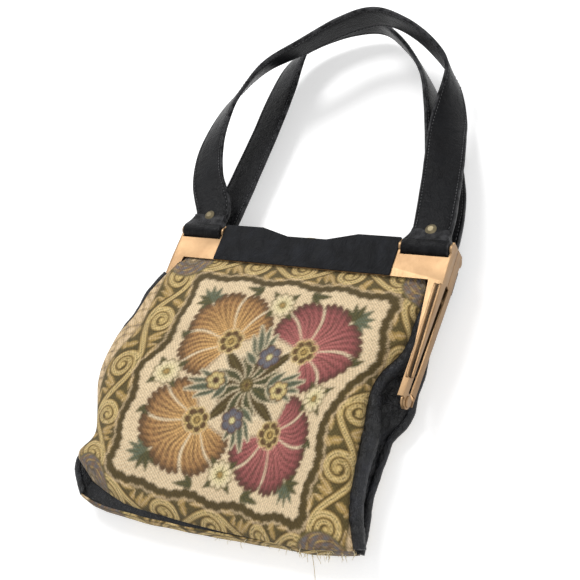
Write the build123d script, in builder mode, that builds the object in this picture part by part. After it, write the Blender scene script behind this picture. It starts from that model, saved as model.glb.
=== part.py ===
"""Carpet bag with a hinged metal frame, lying on its back.

X runs across the bag, Y from its base towards the handles, Z up from the surface it lies on.
The origin is the middle of the flat where the rear panel rests. All sizes are in millimetres.
"""
from build123d import *
from math import cos, radians, sin
import os

# Frame
frame_width = 250.0
frame_half = frame_width / 2
rail_bottom = 115.0
rail_height = 33.0
rail_top = rail_bottom + rail_height
half_depth = 10.4
split_gap = 0.6
split_z = 31.3
sheet = 1.2
front_split = split_z + split_gap / 2
rear_split = split_z - split_gap / 2
front_z = front_split + half_depth
rear_z = rear_split - half_depth
dip_outer = 44.6
dip_inner = 18.0
dip_depth = 7.0

# Legs of the frame and their pivots
leg_drop = 93.4
leg_taper = 4.0
leg_flange = 12.0
leg_depth = 7.4
ring_radius = 5.6
ring_thickness = 1.4
ring_gap = 0.3
pin_radius = 2.4
pin_clearance = 0.05
pin_head_radius = 4.2
pin_head = 1.4
head_play = 0.1
pivot_y = rail_bottom - leg_drop
foot_x = frame_half - leg_taper
front_ring_x = foot_x - ring_thickness
rear_ring_x = front_ring_x - ring_gap - ring_thickness
wall_clear = 1.4

# Handle bars and the ears that hold them
cover_half = 81.6
bar_radius = 2.5
bar_rise = 27.5
bar_proud = 1.5
bar_y = rail_bottom + bar_rise
front_bar_z = front_z - bar_proud
rear_bar_z = rear_z + bar_proud
ear_radius = 4.2
ear_thickness = 1.8
ear_inner_x = cover_half + 0.3
ear_outer_x = frame_half
ear_span = ear_outer_x - ear_inner_x
notch_clear = 0.5

# Handles
strap_clearance = 0.1
strap_gap = 0.6
roll_radius = 7.0
tab_thickness = 5.0
tab_length = 22.0
strap_width = 33.0
strap_thickness = 3.6
loop_inner_x = ear_inner_x + ear_thickness + strap_gap
loop_outer_x = ear_outer_x - ear_thickness - strap_gap
loop_width = loop_outer_x - loop_inner_x
loop_x = (loop_inner_x + loop_outer_x) / 2
rivet_rise = 15.0
rivet_shank = 1.6
rivet_cap = 4.5
rivet_dome = 1.8

# Stations of a handle: place across, rise above the rail's foot, depth behind the front plane, twist.
# The places across were set out for loops at drawn_loop_x, and move with the loops
drawn_loop_x = 103.45
front_route = [
    (-121.0, 79.0, -2.0, 8.0),
    (-130.0, 112.0, -5.0, 18.0),
    (-127.0, 146.0, -10.0, 32.0),
    (-118.0, 170.0, -13.0, 42.0),
    (-100.0, 198.0, -16.0, 52.0),
    (-68.0, 221.0, -16.0, 62.0),
    (-35.0, 245.0, -15.0, 68.0),
    (0.0, 251.0, -17.5, 73.0),
    (32.0, 240.0, -12.0, 80.0),
    (58.0, 223.0, 0.0, 88.0),
    (73.0, 204.0, 10.0, 86.0),
    (79.0, 174.0, 16.0, 55.0),
    (84.0, 145.0, 14.0, 28.0),
    (92.0, 111.0, 9.0, 12.0),
    (99.0, 76.0, 4.0, 5.0),
]
rear_route = [
    (-102.0, 82.0, 21.5, 5.0),
    (-101.0, 110.0, 21.5, 8.0),
    (-99.0, 150.0, 20.5, 10.0),
    (-98.0, 195.0, 19.0, 14.0),
    (-95.0, 232.0, 17.0, 30.0),
    (-80.0, 256.0, 16.0, 55.0),
    (-50.0, 272.0, 15.0, 70.0),
    (-20.0, 274.0, 16.0, 76.0),
    (6.0, 257.0, 20.0, 80.0),
    (28.0, 234.0, 21.5, 84.0),
    (48.0, 206.0, 22.0, 82.0),
    (64.0, 173.0, 23.0, 68.0),
    (78.0, 140.0, 25.0, 45.0),
    (89.0, 108.0, 24.5, 25.0),
    (98.0, 80.0, 22.5, 9.0),
]

# Covers of the rails
leather = 1.2
cover_z = front_z + leather
rear_cover_z = rear_z - leather

# Bag body: stations of the main pouch, of the wider rear part and of the wide foot. Each is a place along Y,
# how far in from the frame's left and right edge the body stops there, and its lowest and highest place
wall = 2.6
lining_wall = 0.8
edge_round = 0.8
side_slack = 24.0
tuck = 4.0
tuck_clear = 0.4
main_stations = [
    (rail_bottom + tuck, side_slack, side_slack, rear_z + sheet + tuck_clear, front_z - sheet - tuck_clear),
    (rail_bottom - 0.5, side_slack, side_slack, rear_z + sheet + tuck_clear, front_z - sheet - tuck_clear),
    (104.0, side_slack, side_slack, 12.0, 44.5),
    (90.0, side_slack, side_slack, 5.0, 47.8),
    (70.0, side_slack, side_slack, 2.0, 49.8),
    (45.0, side_slack, side_slack, 2.0, 50.2),
    (20.0, side_slack, side_slack, 2.0, 48.8),
    (-2.0, side_slack, side_slack, 2.0, 46.6),
]
rear_top_z = rear_z - 1.0
rear_stations = [
    (106.0, 17.0, 17.0, 8.0, rear_top_z),
    (92.0, 10.0, 9.0, 1.5, rear_top_z),
    (82.0, 6.0, 5.0, -0.6, rear_top_z),
    (42.0, 4.0, 1.0, -0.6, rear_top_z),
    (2.0, 3.0, 4.0, -0.6, rear_top_z),
]
foot_stations = [
    (7.0, -3.0, 15.0, -0.6, 47.4),
    (-4.0, -11.5, 13.0, -0.6, 46.2),
    (-14.0, -11.5, 11.5, -0.6, 44.8),
    (-26.0, -6.0, 10.0, -0.6, 42.8),
    (-42.0, 2.0, 8.5, -0.6, 40.2),
    (-60.0, 7.0, 7.0, -0.6, 37.4),
    (-84.0, 6.0, 4.0, -0.6, 33.8),
    (-94.0, 9.0, 4.0, 0.8, 31.8),
    (-104.0, 17.0, 7.0, 4.0, 28.2),
    (-110.0, 25.0, 11.0, 8.0, 24.0),
]
lining_stations = [
    (rail_bottom + 3.0, 29.0, 29.0, 25.8, 36.2),
    (rail_bottom - 1.5, 29.0, 29.0, 25.8, 36.2),
    (102.0, 28.0, 28.0, 15.6, 41.0),
    (88.0, 28.0, 28.0, 8.8, 44.2),
    (66.0, 28.0, 28.0, 5.8, 46.0),
    (18.0, 28.0, 28.0, 5.8, 44.8),
    (-20.0, 25.0, 25.0, 3.6, 39.8),
    (-60.0, 15.0, 13.0, 3.6, 33.4),
    (-86.0, 15.0, 13.0, 3.6, 29.2),
    (-102.0, 23.0, 15.0, 7.8, 24.4),
]
front_seam_top = 35.0
front_seam_foot = 21.0
rear_seam_z = 11.0
rear_tuck_y = 98.0
rear_tuck_z = 27.0
rear_piping_z = 11.0
base_line = -98.0
piping_radius = 3.3
piping_bend = 5.0
# Points of each piping: how far in from the frame's edge, and the place along Y
front_left_piping = [(20.8, 110.0), (20.8, 20.0), (15.0, 7.5), (-3.0, 7.0), (-13.5, -3.0), (-13.0, -16.0),
                     (0.0, -42.0), (5.0, -60.0), (4.0, -84.0), (15.0, -104.0)]
front_right_piping = [(20.8, 110.0), (20.8, 22.0), (13.5, 4.0), (8.5, -26.0), (5.0, -60.0),
                      (2.0, -88.0), (6.0, -104.0)]
rear_left_piping = [(13.0, 104.0), (3.5, 82.0), (1.5, 42.0), (0.5, 12.0), (-13.0, -6.0), (-12.0, -18.0),
                    (1.0, -42.0), (6.0, -60.0), (5.0, -84.0), (17.0, -104.0)]
rear_right_piping = [(13.0, 104.0), (2.5, 82.0), (-1.5, 42.0), (1.5, 2.0), (8.0, -30.0), (6.0, -60.0),
                     (3.0, -88.0), (7.0, -104.0)]

# Clasp
clasp_half = 13.5
clasp_sheet = 1.5
clasp_pin_radius = 1.0
clasp_pin_y = rail_bottom + 17.0
clasp_pin_z = front_split + 4.0
clasp_barrel = 2.2
clasp_top = rail_top - 1.5
clasp_cheek = 1.2
clasp_swing_room = 3.6
hook_width = 8.0
hook_reach = 9.0
hook_drop = 3.0
hook_gap = 0.3


def half_frame(face_z, split, ring_x, wall_foot):
    """One pressed half of the frame, open towards the split between the halves."""
    outward = 1 if face_z > split else -1
    ring_pull = Plane(origin=(ring_x, pivot_y, split_z), x_dir=(0, 1, 0), z_dir=(1, 0, 0))
    with BuildPart() as half:
        with BuildSketch(Plane.XY.offset(split)):
            with BuildLine():
                Polyline(
                    (0, rail_bottom), (0, rail_top - dip_depth), (dip_inner, rail_top - dip_depth),
                    (dip_outer, rail_top), (frame_half, rail_top), (frame_half, rail_bottom), close=True,
                )
            make_face()
            mirror(about=Plane.YZ)
        extrude(amount=outward * half_depth)
        with BuildSketch(Plane.XY.offset(split)):
            with BuildLine():
                Polyline(
                    (0, rail_bottom - sheet), (0, rail_top - dip_depth - sheet),
                    (dip_inner, rail_top - dip_depth - sheet), (dip_outer, rail_top - sheet),
                    (frame_half - sheet, rail_top - sheet), (frame_half - sheet, rail_bottom - sheet), close=True,
                )
            make_face()
            mirror(about=Plane.YZ)
        extrude(amount=outward * (half_depth - sheet), mode=Mode.SUBTRACT)
        with BuildSketch(Plane.XY.offset(face_z)):
            with BuildLine():
                Polyline(
                    (frame_half, rail_bottom), (foot_x, pivot_y), (foot_x - leg_flange, pivot_y),
                    (frame_half - leg_flange, rail_bottom), close=True,
                )
            make_face()
            mirror(about=Plane.YZ)
        extrude(amount=-outward * sheet)
        slope = leg_taper / leg_drop
        wall_x = foot_x + slope * (wall_foot - pivot_y)
        with BuildSketch(Plane.XY.offset(face_z)):
            with BuildLine():
                Polyline(
                    (frame_half, rail_bottom), (wall_x, wall_foot), (wall_x - sheet, wall_foot),
                    (frame_half - sheet, rail_bottom), close=True,
                )
            make_face()
            mirror(about=Plane.YZ)
        extrude(amount=-outward * leg_depth)
        with BuildSketch(ring_pull):
            Circle(ring_radius)
            with Locations((ring_radius / 2, outward * (half_depth - sheet / 2 + split_gap / 2) / 2)):
                Rectangle(ring_radius, half_depth - sheet / 2 + split_gap / 2)
            Circle(pin_radius + pin_clearance, mode=Mode.SUBTRACT)
        extrude(amount=ring_thickness)
        with BuildSketch(ring_pull.offset(-2 * ring_x)):
            Circle(ring_radius)
            with Locations((ring_radius / 2, outward * (half_depth - sheet / 2 + split_gap / 2) / 2)):
                Rectangle(ring_radius, half_depth - sheet / 2 + split_gap / 2)
            Circle(pin_radius + pin_clearance, mode=Mode.SUBTRACT)
        extrude(amount=-ring_thickness)
        # Notches for the handle loops, with an ear each side of the loop
        notch_height = bar_rise - roll_radius - notch_clear
        for side in (-1, 1):
            with BuildSketch(Plane.XY.offset(split)):
                with Locations((side * loop_x, rail_bottom + notch_height)):
                    Rectangle(loop_width + 2 * strap_gap, rail_height, align=(Align.CENTER, Align.MIN))
            extrude(amount=outward * half_depth, mode=Mode.SUBTRACT)
    return half


front_bar_plane = Plane(origin=(0, bar_y, front_bar_z), x_dir=(0, 1, 0), z_dir=(1, 0, 0))
rear_bar_plane = Plane(origin=(0, bar_y, rear_bar_z), x_dir=(0, 1, 0), z_dir=(1, 0, 0))


def ears(bar_plane, outward):
    """Ears beside each notch, each with the hole that its bar sits in."""
    root_height = ear_radius + 1.0
    with BuildPart() as pair:
        for side in (-1, 1):
            for near in (ear_inner_x, ear_outer_x - ear_thickness):
                with BuildSketch(bar_plane.offset(side * near)):
                    Circle(ear_radius)
                    with Locations((-bar_rise / 2 + sheet, outward * (1.0 - ear_radius / 2))):
                        Rectangle(bar_rise / 2, root_height, align=(Align.MIN, Align.CENTER))
                    Circle(bar_radius, mode=Mode.SUBTRACT)
                extrude(amount=side * ear_thickness)
    return pair


with BuildPart() as front_frame:
    add(half_frame(front_z, front_split, front_ring_x, pivot_y).part)
    add(ears(front_bar_plane, 1).part)
    for side in (-1, 1):
        with BuildSketch(front_bar_plane.offset(side * ear_inner_x)):
            Circle(bar_radius)
        extrude(amount=side * ear_span, mode=Mode.SUBTRACT)
    # Slot in the top of the rail, where the clasp's tab comes up
    with BuildSketch(Plane.XY.offset(clasp_pin_z - clasp_sheet)):
        with Locations((0, rail_top - dip_depth)):
            Rectangle(2 * clasp_half + 1.0, 4 * sheet)
    extrude(amount=clasp_sheet + clasp_swing_room, mode=Mode.SUBTRACT)

with BuildPart() as rear_frame:
    add(half_frame(rear_z, rear_split, rear_ring_x, pivot_y + ring_radius + wall_clear).part)
    add(ears(rear_bar_plane, -1).part)
    for side in (-1, 1):
        with BuildSketch(rear_bar_plane.offset(side * ear_inner_x)):
            Circle(bar_radius)
        extrude(amount=side * ear_span, mode=Mode.SUBTRACT)


def rod_between(plane, radius, start, end):
    """A plain round bar along X."""
    with BuildPart() as rod:
        with BuildSketch(plane.offset(start)):
            Circle(radius)
        extrude(amount=end - start)
    return rod


front_bars = []
rear_bars = []
for side in (-1, 1):
    low, high = sorted((side * ear_inner_x, side * ear_outer_x))
    front_bars.append(rod_between(front_bar_plane, bar_radius, low, high))
    rear_bars.append(rod_between(rear_bar_plane, bar_radius, low, high))


def pivot_pin(side):
    """Rivet that joins the two legs on one side, with a domed head outside and a flat one inside."""
    inner = rear_ring_x - head_play
    outer = front_ring_x + ring_thickness + head_play
    plane = Plane(origin=(side * inner, pivot_y, split_z), x_dir=(0, 1, 0), z_dir=(side, 0, 0))
    with BuildPart() as pin:
        with BuildSketch(plane):
            Circle(pin_radius)
        extrude(amount=outer - inner)
        with BuildSketch(plane):
            Circle(pin_head_radius)
        extrude(amount=-pin_head / 2)
        with BuildSketch(plane.offset(outer - inner)):
            Circle(pin_head_radius)
        extrude(amount=pin_head)
        chamfer(pin.faces().sort_by(Axis.X)[-1 if side > 0 else 0].edges(), length=pin_head * 0.5)
    return pin


left_pivot = pivot_pin(-1)
right_pivot = pivot_pin(1)

# Leather cover in the middle of the front rail, folded over its top
with BuildPart() as front_cover:
    with BuildSketch(Plane.XY.offset(front_z)):
        with BuildLine():
            Polyline(
                (0, rail_bottom), (0, rail_top - dip_depth + leather), (dip_inner, rail_top - dip_depth + leather),
                (dip_outer, rail_top + leather), (cover_half, rail_top + leather), (cover_half, rail_bottom),
                close=True,
            )
        make_face()
        mirror(about=Plane.YZ)
    extrude(amount=leather)
    with BuildSketch(Plane.XY.offset(front_split)):
        with BuildLine():
            Polyline(
                (clasp_half + 1.0, rail_top - dip_depth), (clasp_half + 1.0, rail_top - dip_depth + leather),
                (dip_inner, rail_top - dip_depth + leather), (dip_outer, rail_top + leather),
                (cover_half, rail_top + leather), (cover_half, rail_top), (dip_outer, rail_top),
                (dip_inner, rail_top - dip_depth), close=True,
            )
        make_face()
        mirror(about=Plane.YZ)
    extrude(amount=half_depth)

# Leather cover of the whole rear rail
with BuildPart() as rear_cover:
    with BuildSketch(Plane.XY.offset(rear_cover_z)):
        with BuildLine():
            Polyline(
                (0, rail_bottom), (0, rail_top - dip_depth), (dip_inner, rail_top - dip_depth),
                (dip_outer, rail_top), (frame_half, rail_top), (frame_half, rail_bottom), close=True,
            )
        make_face()
        mirror(about=Plane.YZ)
        for side in (-1, 1):
            with Locations((side * loop_x, rail_bottom + bar_rise - roll_radius - notch_clear)):
                Rectangle(ear_outer_x - ear_inner_x + 2 * strap_gap, rail_height, align=(Align.CENTER, Align.MIN))
            with Locations((side * (loop_x + loop_width), rail_bottom + bar_rise - roll_radius)):
                Rectangle(loop_width, rail_height, align=(Align.CENTER, Align.MIN), mode=Mode.SUBTRACT)
    extrude(amount=leather)
    for side in (-1, 1):
        with BuildSketch(Plane.XY.offset(rear_cover_z)):
            with Locations((side * loop_x, rail_bottom + bar_rise - roll_radius - notch_clear)):
                Rectangle(loop_width + 4 * strap_gap + 2 * ear_thickness, rail_height, align=(Align.CENTER, Align.MIN))
        extrude(amount=leather, mode=Mode.SUBTRACT)


def pillow(stations, inset, top_extra=0.0, foot_inset=0.0):
    """A soft closed form through rounded sections, drawn in by inset all round."""
    with BuildPart() as form:
        last = len(stations) - 1
        for count, (y, in_left, in_right, z_low, z_high) in enumerate(stations):
            x_left, x_right = in_left - frame_half, frame_half - in_right
            shift = top_extra if count == 0 else (foot_inset if count == last else 0.0)
            middle = ((x_left + x_right) / 2, y + shift, (z_low + z_high) / 2)
            height = z_high - z_low - 2 * inset
            with BuildSketch(Plane(origin=middle, x_dir=(1, 0, 0), z_dir=(0, -1, 0))):
                RectangleRounded(x_right - x_left - 2 * inset, height, height / 2 * edge_round)
        loft(ruled=True)
    return form


def bag_form(inset, top_extra):
    """The whole body drawn in by inset, flattened where it rests."""
    with BuildPart() as form:
        add(pillow(main_stations, inset, top_extra, 0.0).part)
        add(pillow(rear_stations, inset, -inset, 0.0).part)
        add(pillow(foot_stations, inset, -inset, inset).part)
        split(bisect_by=Plane.XY.offset(inset), keep=Keep.TOP)
    return form


outer_form = bag_form(0.0, 0.0)
inner_form = bag_form(wall, 1.0)

with BuildPart() as shell:
    add(outer_form.part)
    add(inner_form.part, mode=Mode.SUBTRACT)

foot_y = foot_stations[-1][0]
top_y = main_stations[0][0]

# Zones that share the shell out between the panels and the gussets
zone_reach = frame_width
with BuildPart() as front_zone:
    with BuildSketch(Plane.YZ):
        with BuildLine():
            Polyline(
                (top_y, front_seam_top), (top_y, zone_reach), (foot_y, zone_reach), (foot_y, front_seam_foot),
                close=True,
            )
        make_face()
    extrude(amount=zone_reach, both=True)

with BuildPart() as rear_zone:
    with BuildSketch(Plane.YZ):
        with BuildLine():
            Polyline(
                (top_y, rear_tuck_z), (rear_tuck_y, rear_tuck_z), (rear_tuck_y, rear_seam_z), (foot_y, rear_seam_z),
                (foot_y, -zone_reach), (top_y, -zone_reach), close=True,
            )
        make_face()
    extrude(amount=zone_reach, both=True)

with BuildPart() as front_panel:
    add(shell.part)
    add(front_zone.part, mode=Mode.INTERSECT)

with BuildPart() as rear_panel:
    add(shell.part)
    add(rear_zone.part, mode=Mode.INTERSECT)

with BuildPart() as side_band:
    add(shell.part)
    add(front_zone.part, mode=Mode.SUBTRACT)
    add(rear_zone.part, mode=Mode.SUBTRACT)

with BuildPart() as left_gusset:
    add(side_band.part)
    split(bisect_by=Plane.XZ.offset(-base_line), keep=Keep.BOTTOM)
    split(bisect_by=Plane.YZ, keep=Keep.BOTTOM)

with BuildPart() as right_gusset:
    add(side_band.part)
    split(bisect_by=Plane.XZ.offset(-base_line), keep=Keep.BOTTOM)
    split(bisect_by=Plane.YZ, keep=Keep.TOP)

with BuildPart() as base_panel:
    add(side_band.part)
    split(bisect_by=Plane.XZ.offset(-base_line), keep=Keep.TOP)

with BuildPart() as lining:
    add(pillow(lining_stations, 0.0).part)
    add(pillow(lining_stations, lining_wall, 1.0, lining_wall).part, mode=Mode.SUBTRACT)


def piping(side, points, top_z, foot_z):
    """A rolled leather edge that lies against the body, falling from top_z to foot_z."""
    fall = (top_z - foot_z) / (top_y - foot_y)
    route = [(side * (frame_half - inward), y, foot_z + fall * (y - foot_y)) for inward, y in points]
    with BuildPart() as roll:
        with BuildLine() as line:
            FilletPolyline(*route, radius=piping_bend)
        with BuildSketch(Plane(origin=line.line @ 0, z_dir=line.line % 0)):
            Circle(piping_radius)
        sweep()
        add(outer_form.part, mode=Mode.SUBTRACT)
    return roll


pipings = {
    "front_left_piping": piping(-1, front_left_piping, front_seam_top, front_seam_foot),
    "front_right_piping": piping(1, front_right_piping, front_seam_top, front_seam_foot),
    "rear_left_piping": piping(-1, rear_left_piping, rear_piping_z, rear_piping_z),
    "rear_right_piping": piping(1, rear_right_piping, rear_piping_z, rear_piping_z),
}


def strap_planes(stations, base_depth):
    """Section planes of a handle from its left loop to its right one."""
    tab_end = bar_rise + tab_length
    places = [Vector(-loop_x, rail_bottom + tab_end, front_z - base_depth)]
    spread = loop_x / drawn_loop_x
    places += [Vector(x * spread, rail_bottom + rise, front_z - depth) for x, rise, depth, twist in stations]
    places += [Vector(loop_x, rail_bottom + tab_end, front_z - base_depth)]
    twists = [0.0] + [twist for x, rise, depth, twist in stations] + [0.0]
    planes = []
    last = len(places) - 1
    for count, (place, twist) in enumerate(zip(places, twists)):
        ahead = places[min(count + 1, last)]
        behind = places[max(count - 1, 0)]
        along = (ahead - behind).normalized()
        if count == 0:
            along = Vector(0, 1, 0)
        if count == last:
            along = Vector(0, -1, 0)
        down = Vector(0, 0, -1)
        down = (down - along * along.dot(down)).normalized()
        across = along.cross(down)
        width_way = across * cos(radians(twist)) + down * sin(radians(twist))
        planes.append(Plane(origin=place, x_dir=width_way, z_dir=along))
    return planes


def handle(stations, bar_z):
    """A leather strap with a loop round the bar at each end, held by a riveted tab."""
    with BuildPart() as strap:
        for count, plane in enumerate(strap_planes(stations, front_z - bar_z)):
            at_end = count in (0, len(stations) + 1)
            with BuildSketch(plane):
                Rectangle(strap_width, tab_thickness if at_end else strap_thickness)
        loft()
        for side in (-1, 1):
            with BuildSketch(Plane.XY.offset(bar_z - tab_thickness / 2)):
                with BuildLine():
                    Polyline(
                        (side * loop_x - loop_width / 2, bar_y),
                        (side * loop_x - loop_width / 2, bar_y + roll_radius * 0.8),
                        (side * loop_x - strap_width / 2, bar_y + rivet_rise * 0.9),
                        (side * loop_x - strap_width / 2, bar_y + tab_length),
                        (side * loop_x + strap_width / 2, bar_y + tab_length),
                        (side * loop_x + strap_width / 2, bar_y + rivet_rise * 0.9),
                        (side * loop_x + loop_width / 2, bar_y + roll_radius * 0.8),
                        (side * loop_x + loop_width / 2, bar_y),
                        close=True,
                    )
                make_face()
            extrude(amount=tab_thickness)
            loop_plane = Plane(origin=(side * loop_x, bar_y, bar_z), x_dir=(0, 1, 0), z_dir=(1, 0, 0))
            with BuildSketch(loop_plane):
                Circle(roll_radius)
            extrude(amount=loop_width / 2, both=True)
            with BuildSketch(loop_plane):
                Circle(bar_radius + strap_clearance)
            extrude(amount=loop_width / 2, both=True, mode=Mode.SUBTRACT)
            with BuildSketch(Plane.XY.offset(bar_z - tab_thickness / 2)):
                with Locations((side * loop_x, bar_y + rivet_rise)):
                    Circle(rivet_shank)
            extrude(amount=tab_thickness, mode=Mode.SUBTRACT)
    return strap


def rivet(side, bar_z):
    """A domed rivet through the tab of a handle, with a flat head behind."""
    face = bar_z + tab_thickness / 2
    plane = Plane(origin=(side * loop_x, bar_y + rivet_rise, face))
    with BuildPart() as stud:
        with BuildSketch(plane):
            Circle(rivet_cap)
        extrude(amount=rivet_dome)
        chamfer(stud.faces().sort_by(Axis.Z)[-1].edges(), length=rivet_dome * 0.7, length2=rivet_cap * 0.5)
        with BuildSketch(plane):
            Circle(rivet_shank)
        extrude(amount=-tab_thickness)
        with BuildSketch(plane.offset(-tab_thickness)):
            Circle(rivet_cap * 0.8)
        extrude(amount=-rivet_dome / 2)
    return stud


front_handle = handle(front_route, front_bar_z)
rear_handle = handle(rear_route, rear_bar_z)

# Clasp: a bracket in the front rail, a pin, a tab that tips, and a catch in the rear rail
clasp_plane = Plane(origin=(0, clasp_pin_y, clasp_pin_z), x_dir=(0, 1, 0), z_dir=(1, 0, 0))
bracket_half = clasp_half + 0.3
with BuildPart() as clasp_bracket:
    with BuildSketch(Plane.XY.offset(front_z - sheet - clasp_cheek)):
        with Locations((0, clasp_pin_y)):
            Rectangle(2 * bracket_half + 2 * clasp_cheek, 4 * clasp_barrel)
    extrude(amount=clasp_cheek)
    for side in (-1, 1):
        with BuildSketch(clasp_plane.offset(side * bracket_half)):
            Circle(2 * clasp_barrel)
            with Locations((0, 0)):
                Rectangle(4 * clasp_barrel, front_z - sheet - clasp_pin_z, align=(Align.CENTER, Align.MIN))
            Circle(clasp_pin_radius, mode=Mode.SUBTRACT)
        extrude(amount=side * clasp_cheek)
    split(bisect_by=Plane.XY.offset(front_split), keep=Keep.TOP)

clasp_pin = rod_between(clasp_plane, clasp_pin_radius, -bracket_half - clasp_cheek, bracket_half + clasp_cheek)

with BuildPart() as clasp_tab:
    with BuildSketch(clasp_plane.offset(-clasp_half)):
        Circle(clasp_barrel)
    extrude(amount=2 * clasp_half)
    with BuildSketch(Plane.XY.offset(clasp_pin_z - clasp_sheet / 2)):
        with Locations((0, clasp_pin_y)):
            Rectangle(2 * clasp_half, clasp_top - clasp_pin_y - 6.0, align=(Align.CENTER, Align.MIN))
        with Locations((0, clasp_top - 6.0)):
            Ellipse(clasp_half, 6.0)
    extrude(amount=clasp_sheet)
    with BuildSketch(Plane.XY.offset(clasp_pin_z - hook_reach)):
        with Locations((0, clasp_pin_y)):
            Rectangle(hook_width, clasp_sheet)
    extrude(amount=hook_reach)
    with BuildSketch(Plane.XY.offset(clasp_pin_z - hook_reach)):
        with Locations((0, clasp_pin_y)):
            Rectangle(hook_width, hook_drop, align=(Align.CENTER, Align.MAX))
    extrude(amount=clasp_sheet)
    with BuildSketch(clasp_plane.offset(-clasp_half)):
        Circle(clasp_pin_radius + pin_clearance)
    extrude(amount=2 * clasp_half, mode=Mode.SUBTRACT)

catch_z = clasp_pin_z - hook_reach + clasp_sheet + 1.0
with BuildPart() as clasp_catch:
    with BuildSketch(Plane.XY.offset(rear_z + sheet)):
        with Locations((0, clasp_pin_y - hook_drop - hook_gap - 5.0)):
            Rectangle(2 * hook_width, 5.0)
    extrude(amount=catch_z + clasp_sheet - rear_z - sheet)
    with BuildSketch(Plane.XY.offset(catch_z)):
        with Locations((0, clasp_pin_y - hook_drop - hook_gap)):
            Rectangle(2 * hook_width, 4.0, align=(Align.CENTER, Align.MAX))
    extrude(amount=clasp_sheet)

pieces = {
    "front_frame": front_frame,
    "rear_frame": rear_frame,
    "front_left_bar": front_bars[0],
    "front_right_bar": front_bars[1],
    "rear_left_bar": rear_bars[0],
    "rear_right_bar": rear_bars[1],
    "left_pivot": left_pivot,
    "right_pivot": right_pivot,
    "front_cover": front_cover,
    "rear_cover": rear_cover,
    "front_panel": front_panel,
    "rear_panel": rear_panel,
    "left_gusset": left_gusset,
    "right_gusset": right_gusset,
    "base_panel": base_panel,
    "lining": lining,
    "front_handle": front_handle,
    "rear_handle": rear_handle,
    "front_left_rivet": rivet(-1, front_bar_z),
    "front_right_rivet": rivet(1, front_bar_z),
    "rear_left_rivet": rivet(-1, rear_bar_z),
    "rear_right_rivet": rivet(1, rear_bar_z),
    "clasp_bracket": clasp_bracket,
    "clasp_pin": clasp_pin,
    "clasp_tab": clasp_tab,
    "clasp_catch": clasp_catch,
    **pipings,
}

os.makedirs("parts", exist_ok=True)
for name, piece in pieces.items():
    piece.part.label = name
    export_step(piece.part, f"parts/{name}.step")
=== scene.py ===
import math
import random

import bpy
import numpy as np
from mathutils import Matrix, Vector


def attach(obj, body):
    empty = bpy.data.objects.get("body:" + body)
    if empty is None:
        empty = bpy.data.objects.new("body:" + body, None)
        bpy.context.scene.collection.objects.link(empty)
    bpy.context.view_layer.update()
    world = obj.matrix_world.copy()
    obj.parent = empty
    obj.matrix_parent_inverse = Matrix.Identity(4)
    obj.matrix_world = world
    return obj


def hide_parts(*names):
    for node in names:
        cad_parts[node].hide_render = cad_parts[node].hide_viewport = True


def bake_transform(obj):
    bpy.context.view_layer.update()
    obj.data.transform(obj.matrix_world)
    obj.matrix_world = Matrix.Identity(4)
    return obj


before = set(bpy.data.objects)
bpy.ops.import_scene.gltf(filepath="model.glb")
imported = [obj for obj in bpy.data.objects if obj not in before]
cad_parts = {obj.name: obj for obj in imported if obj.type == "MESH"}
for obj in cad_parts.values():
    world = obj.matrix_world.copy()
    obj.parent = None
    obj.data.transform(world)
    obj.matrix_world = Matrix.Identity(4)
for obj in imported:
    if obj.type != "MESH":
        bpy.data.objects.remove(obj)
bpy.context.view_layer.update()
for picked in list(bpy.context.selected_objects):
    picked.select_set(False)

random.seed(7)
MM = 0.001

# Places in millimetres: X across the bag, Y towards the handles, Z up
RAIL_FOOT = 115.0
FRONT_PLATE = 42.0
PIVOT_Y = 21.6
BAR_Y = 142.5
FRONT_BAR_Z = 40.5
REAR_BAR_Z = 22.1
LOOP_X = 103.45
LOOP_WIDTH = 38.3
STRAP_WIDTH = 33.0
STRAP_THICK = 3.6
ROLL_RADIUS = 7.0
TAB_LENGTH = 22.0
STITCH_INSET = 2.9
STITCH_STEP = 3.3
REAR_SEAM_Z = 11.0
CLOTH_TOP_Y = 118.0
FRONT_TOP_Y = 119.0
ASKEW_FROM = -50.0
FOOT_Y = -110.0
FLOOR_CLEAR = 0.6

# Thickness of the materials, and how far the lining lies inside the cloth
CLOTH_THICK = 1.2
SIDE_THICK = 1.2
FOLD_THICK = 0.8
LINING_THICK = 0.6
LINING_DEPTH = 2.6
LINING_SHARE = 0.97

# Counts of rows and points across the panels
FRONT_GRID = (188, 218)
REAR_GRID = (120, 130)
BASE_GRID = (16, 180)
FOLD_GRID = (120, 7)

# Outlines of the body as place along Y, then place across or height
FRONT_LEFT = [(119, -108), (115, -112), (110, -114), (100, -118), (88, -124), (75, -129), (60, -131), (50, -134),
              (40, -140), (32, -145), (19, -148), (4, -150), (-11, -148), (-25, -142), (-38, -136), (-48, -132),
              (-56, -134), (-65, -140), (-73, -143), (-82, -142), (-90, -138), (-98, -132), (-110, -124)]
FRONT_RIGHT = [(119, 106), (115, 110), (108, 112), (95, 112), (72, 110), (58, 108), (48, 102), (38, 95), (28, 91.5),
               (14, 92), (0, 94.5), (-20, 96), (-40, 97.5), (-63, 101), (-84, 107), (-98, 110), (-110, 112)]
CROWN = [(119, 39.0), (115, 39.6), (110, 42.0), (104, 45.0), (92, 48.4), (70, 50.3), (45, 50.6), (14, 49.4),
         (-10, 47.0), (-34, 43.2), (-60, 39.2), (-84, 35.4), (-96, 32.4), (-104, 28.4), (-110, 22.0)]
LEFT_SEAM = [(119, 38.4), (115, 39.2), (112, 42.9), (60, 43.4), (44, 41.0), (26, 35.0), (4, 28.5), (-40, 25.3),
             (-110, 21.0)]
REAR_LEFT = [(119, -100), (112, -103), (104, -109), (82, -119), (42, -121), (12, -124), (-6, -135), (-18, -135),
             (-42, -122), (-60, -117), (-84, -119), (-104, -109), (-110, -103)]
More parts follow.
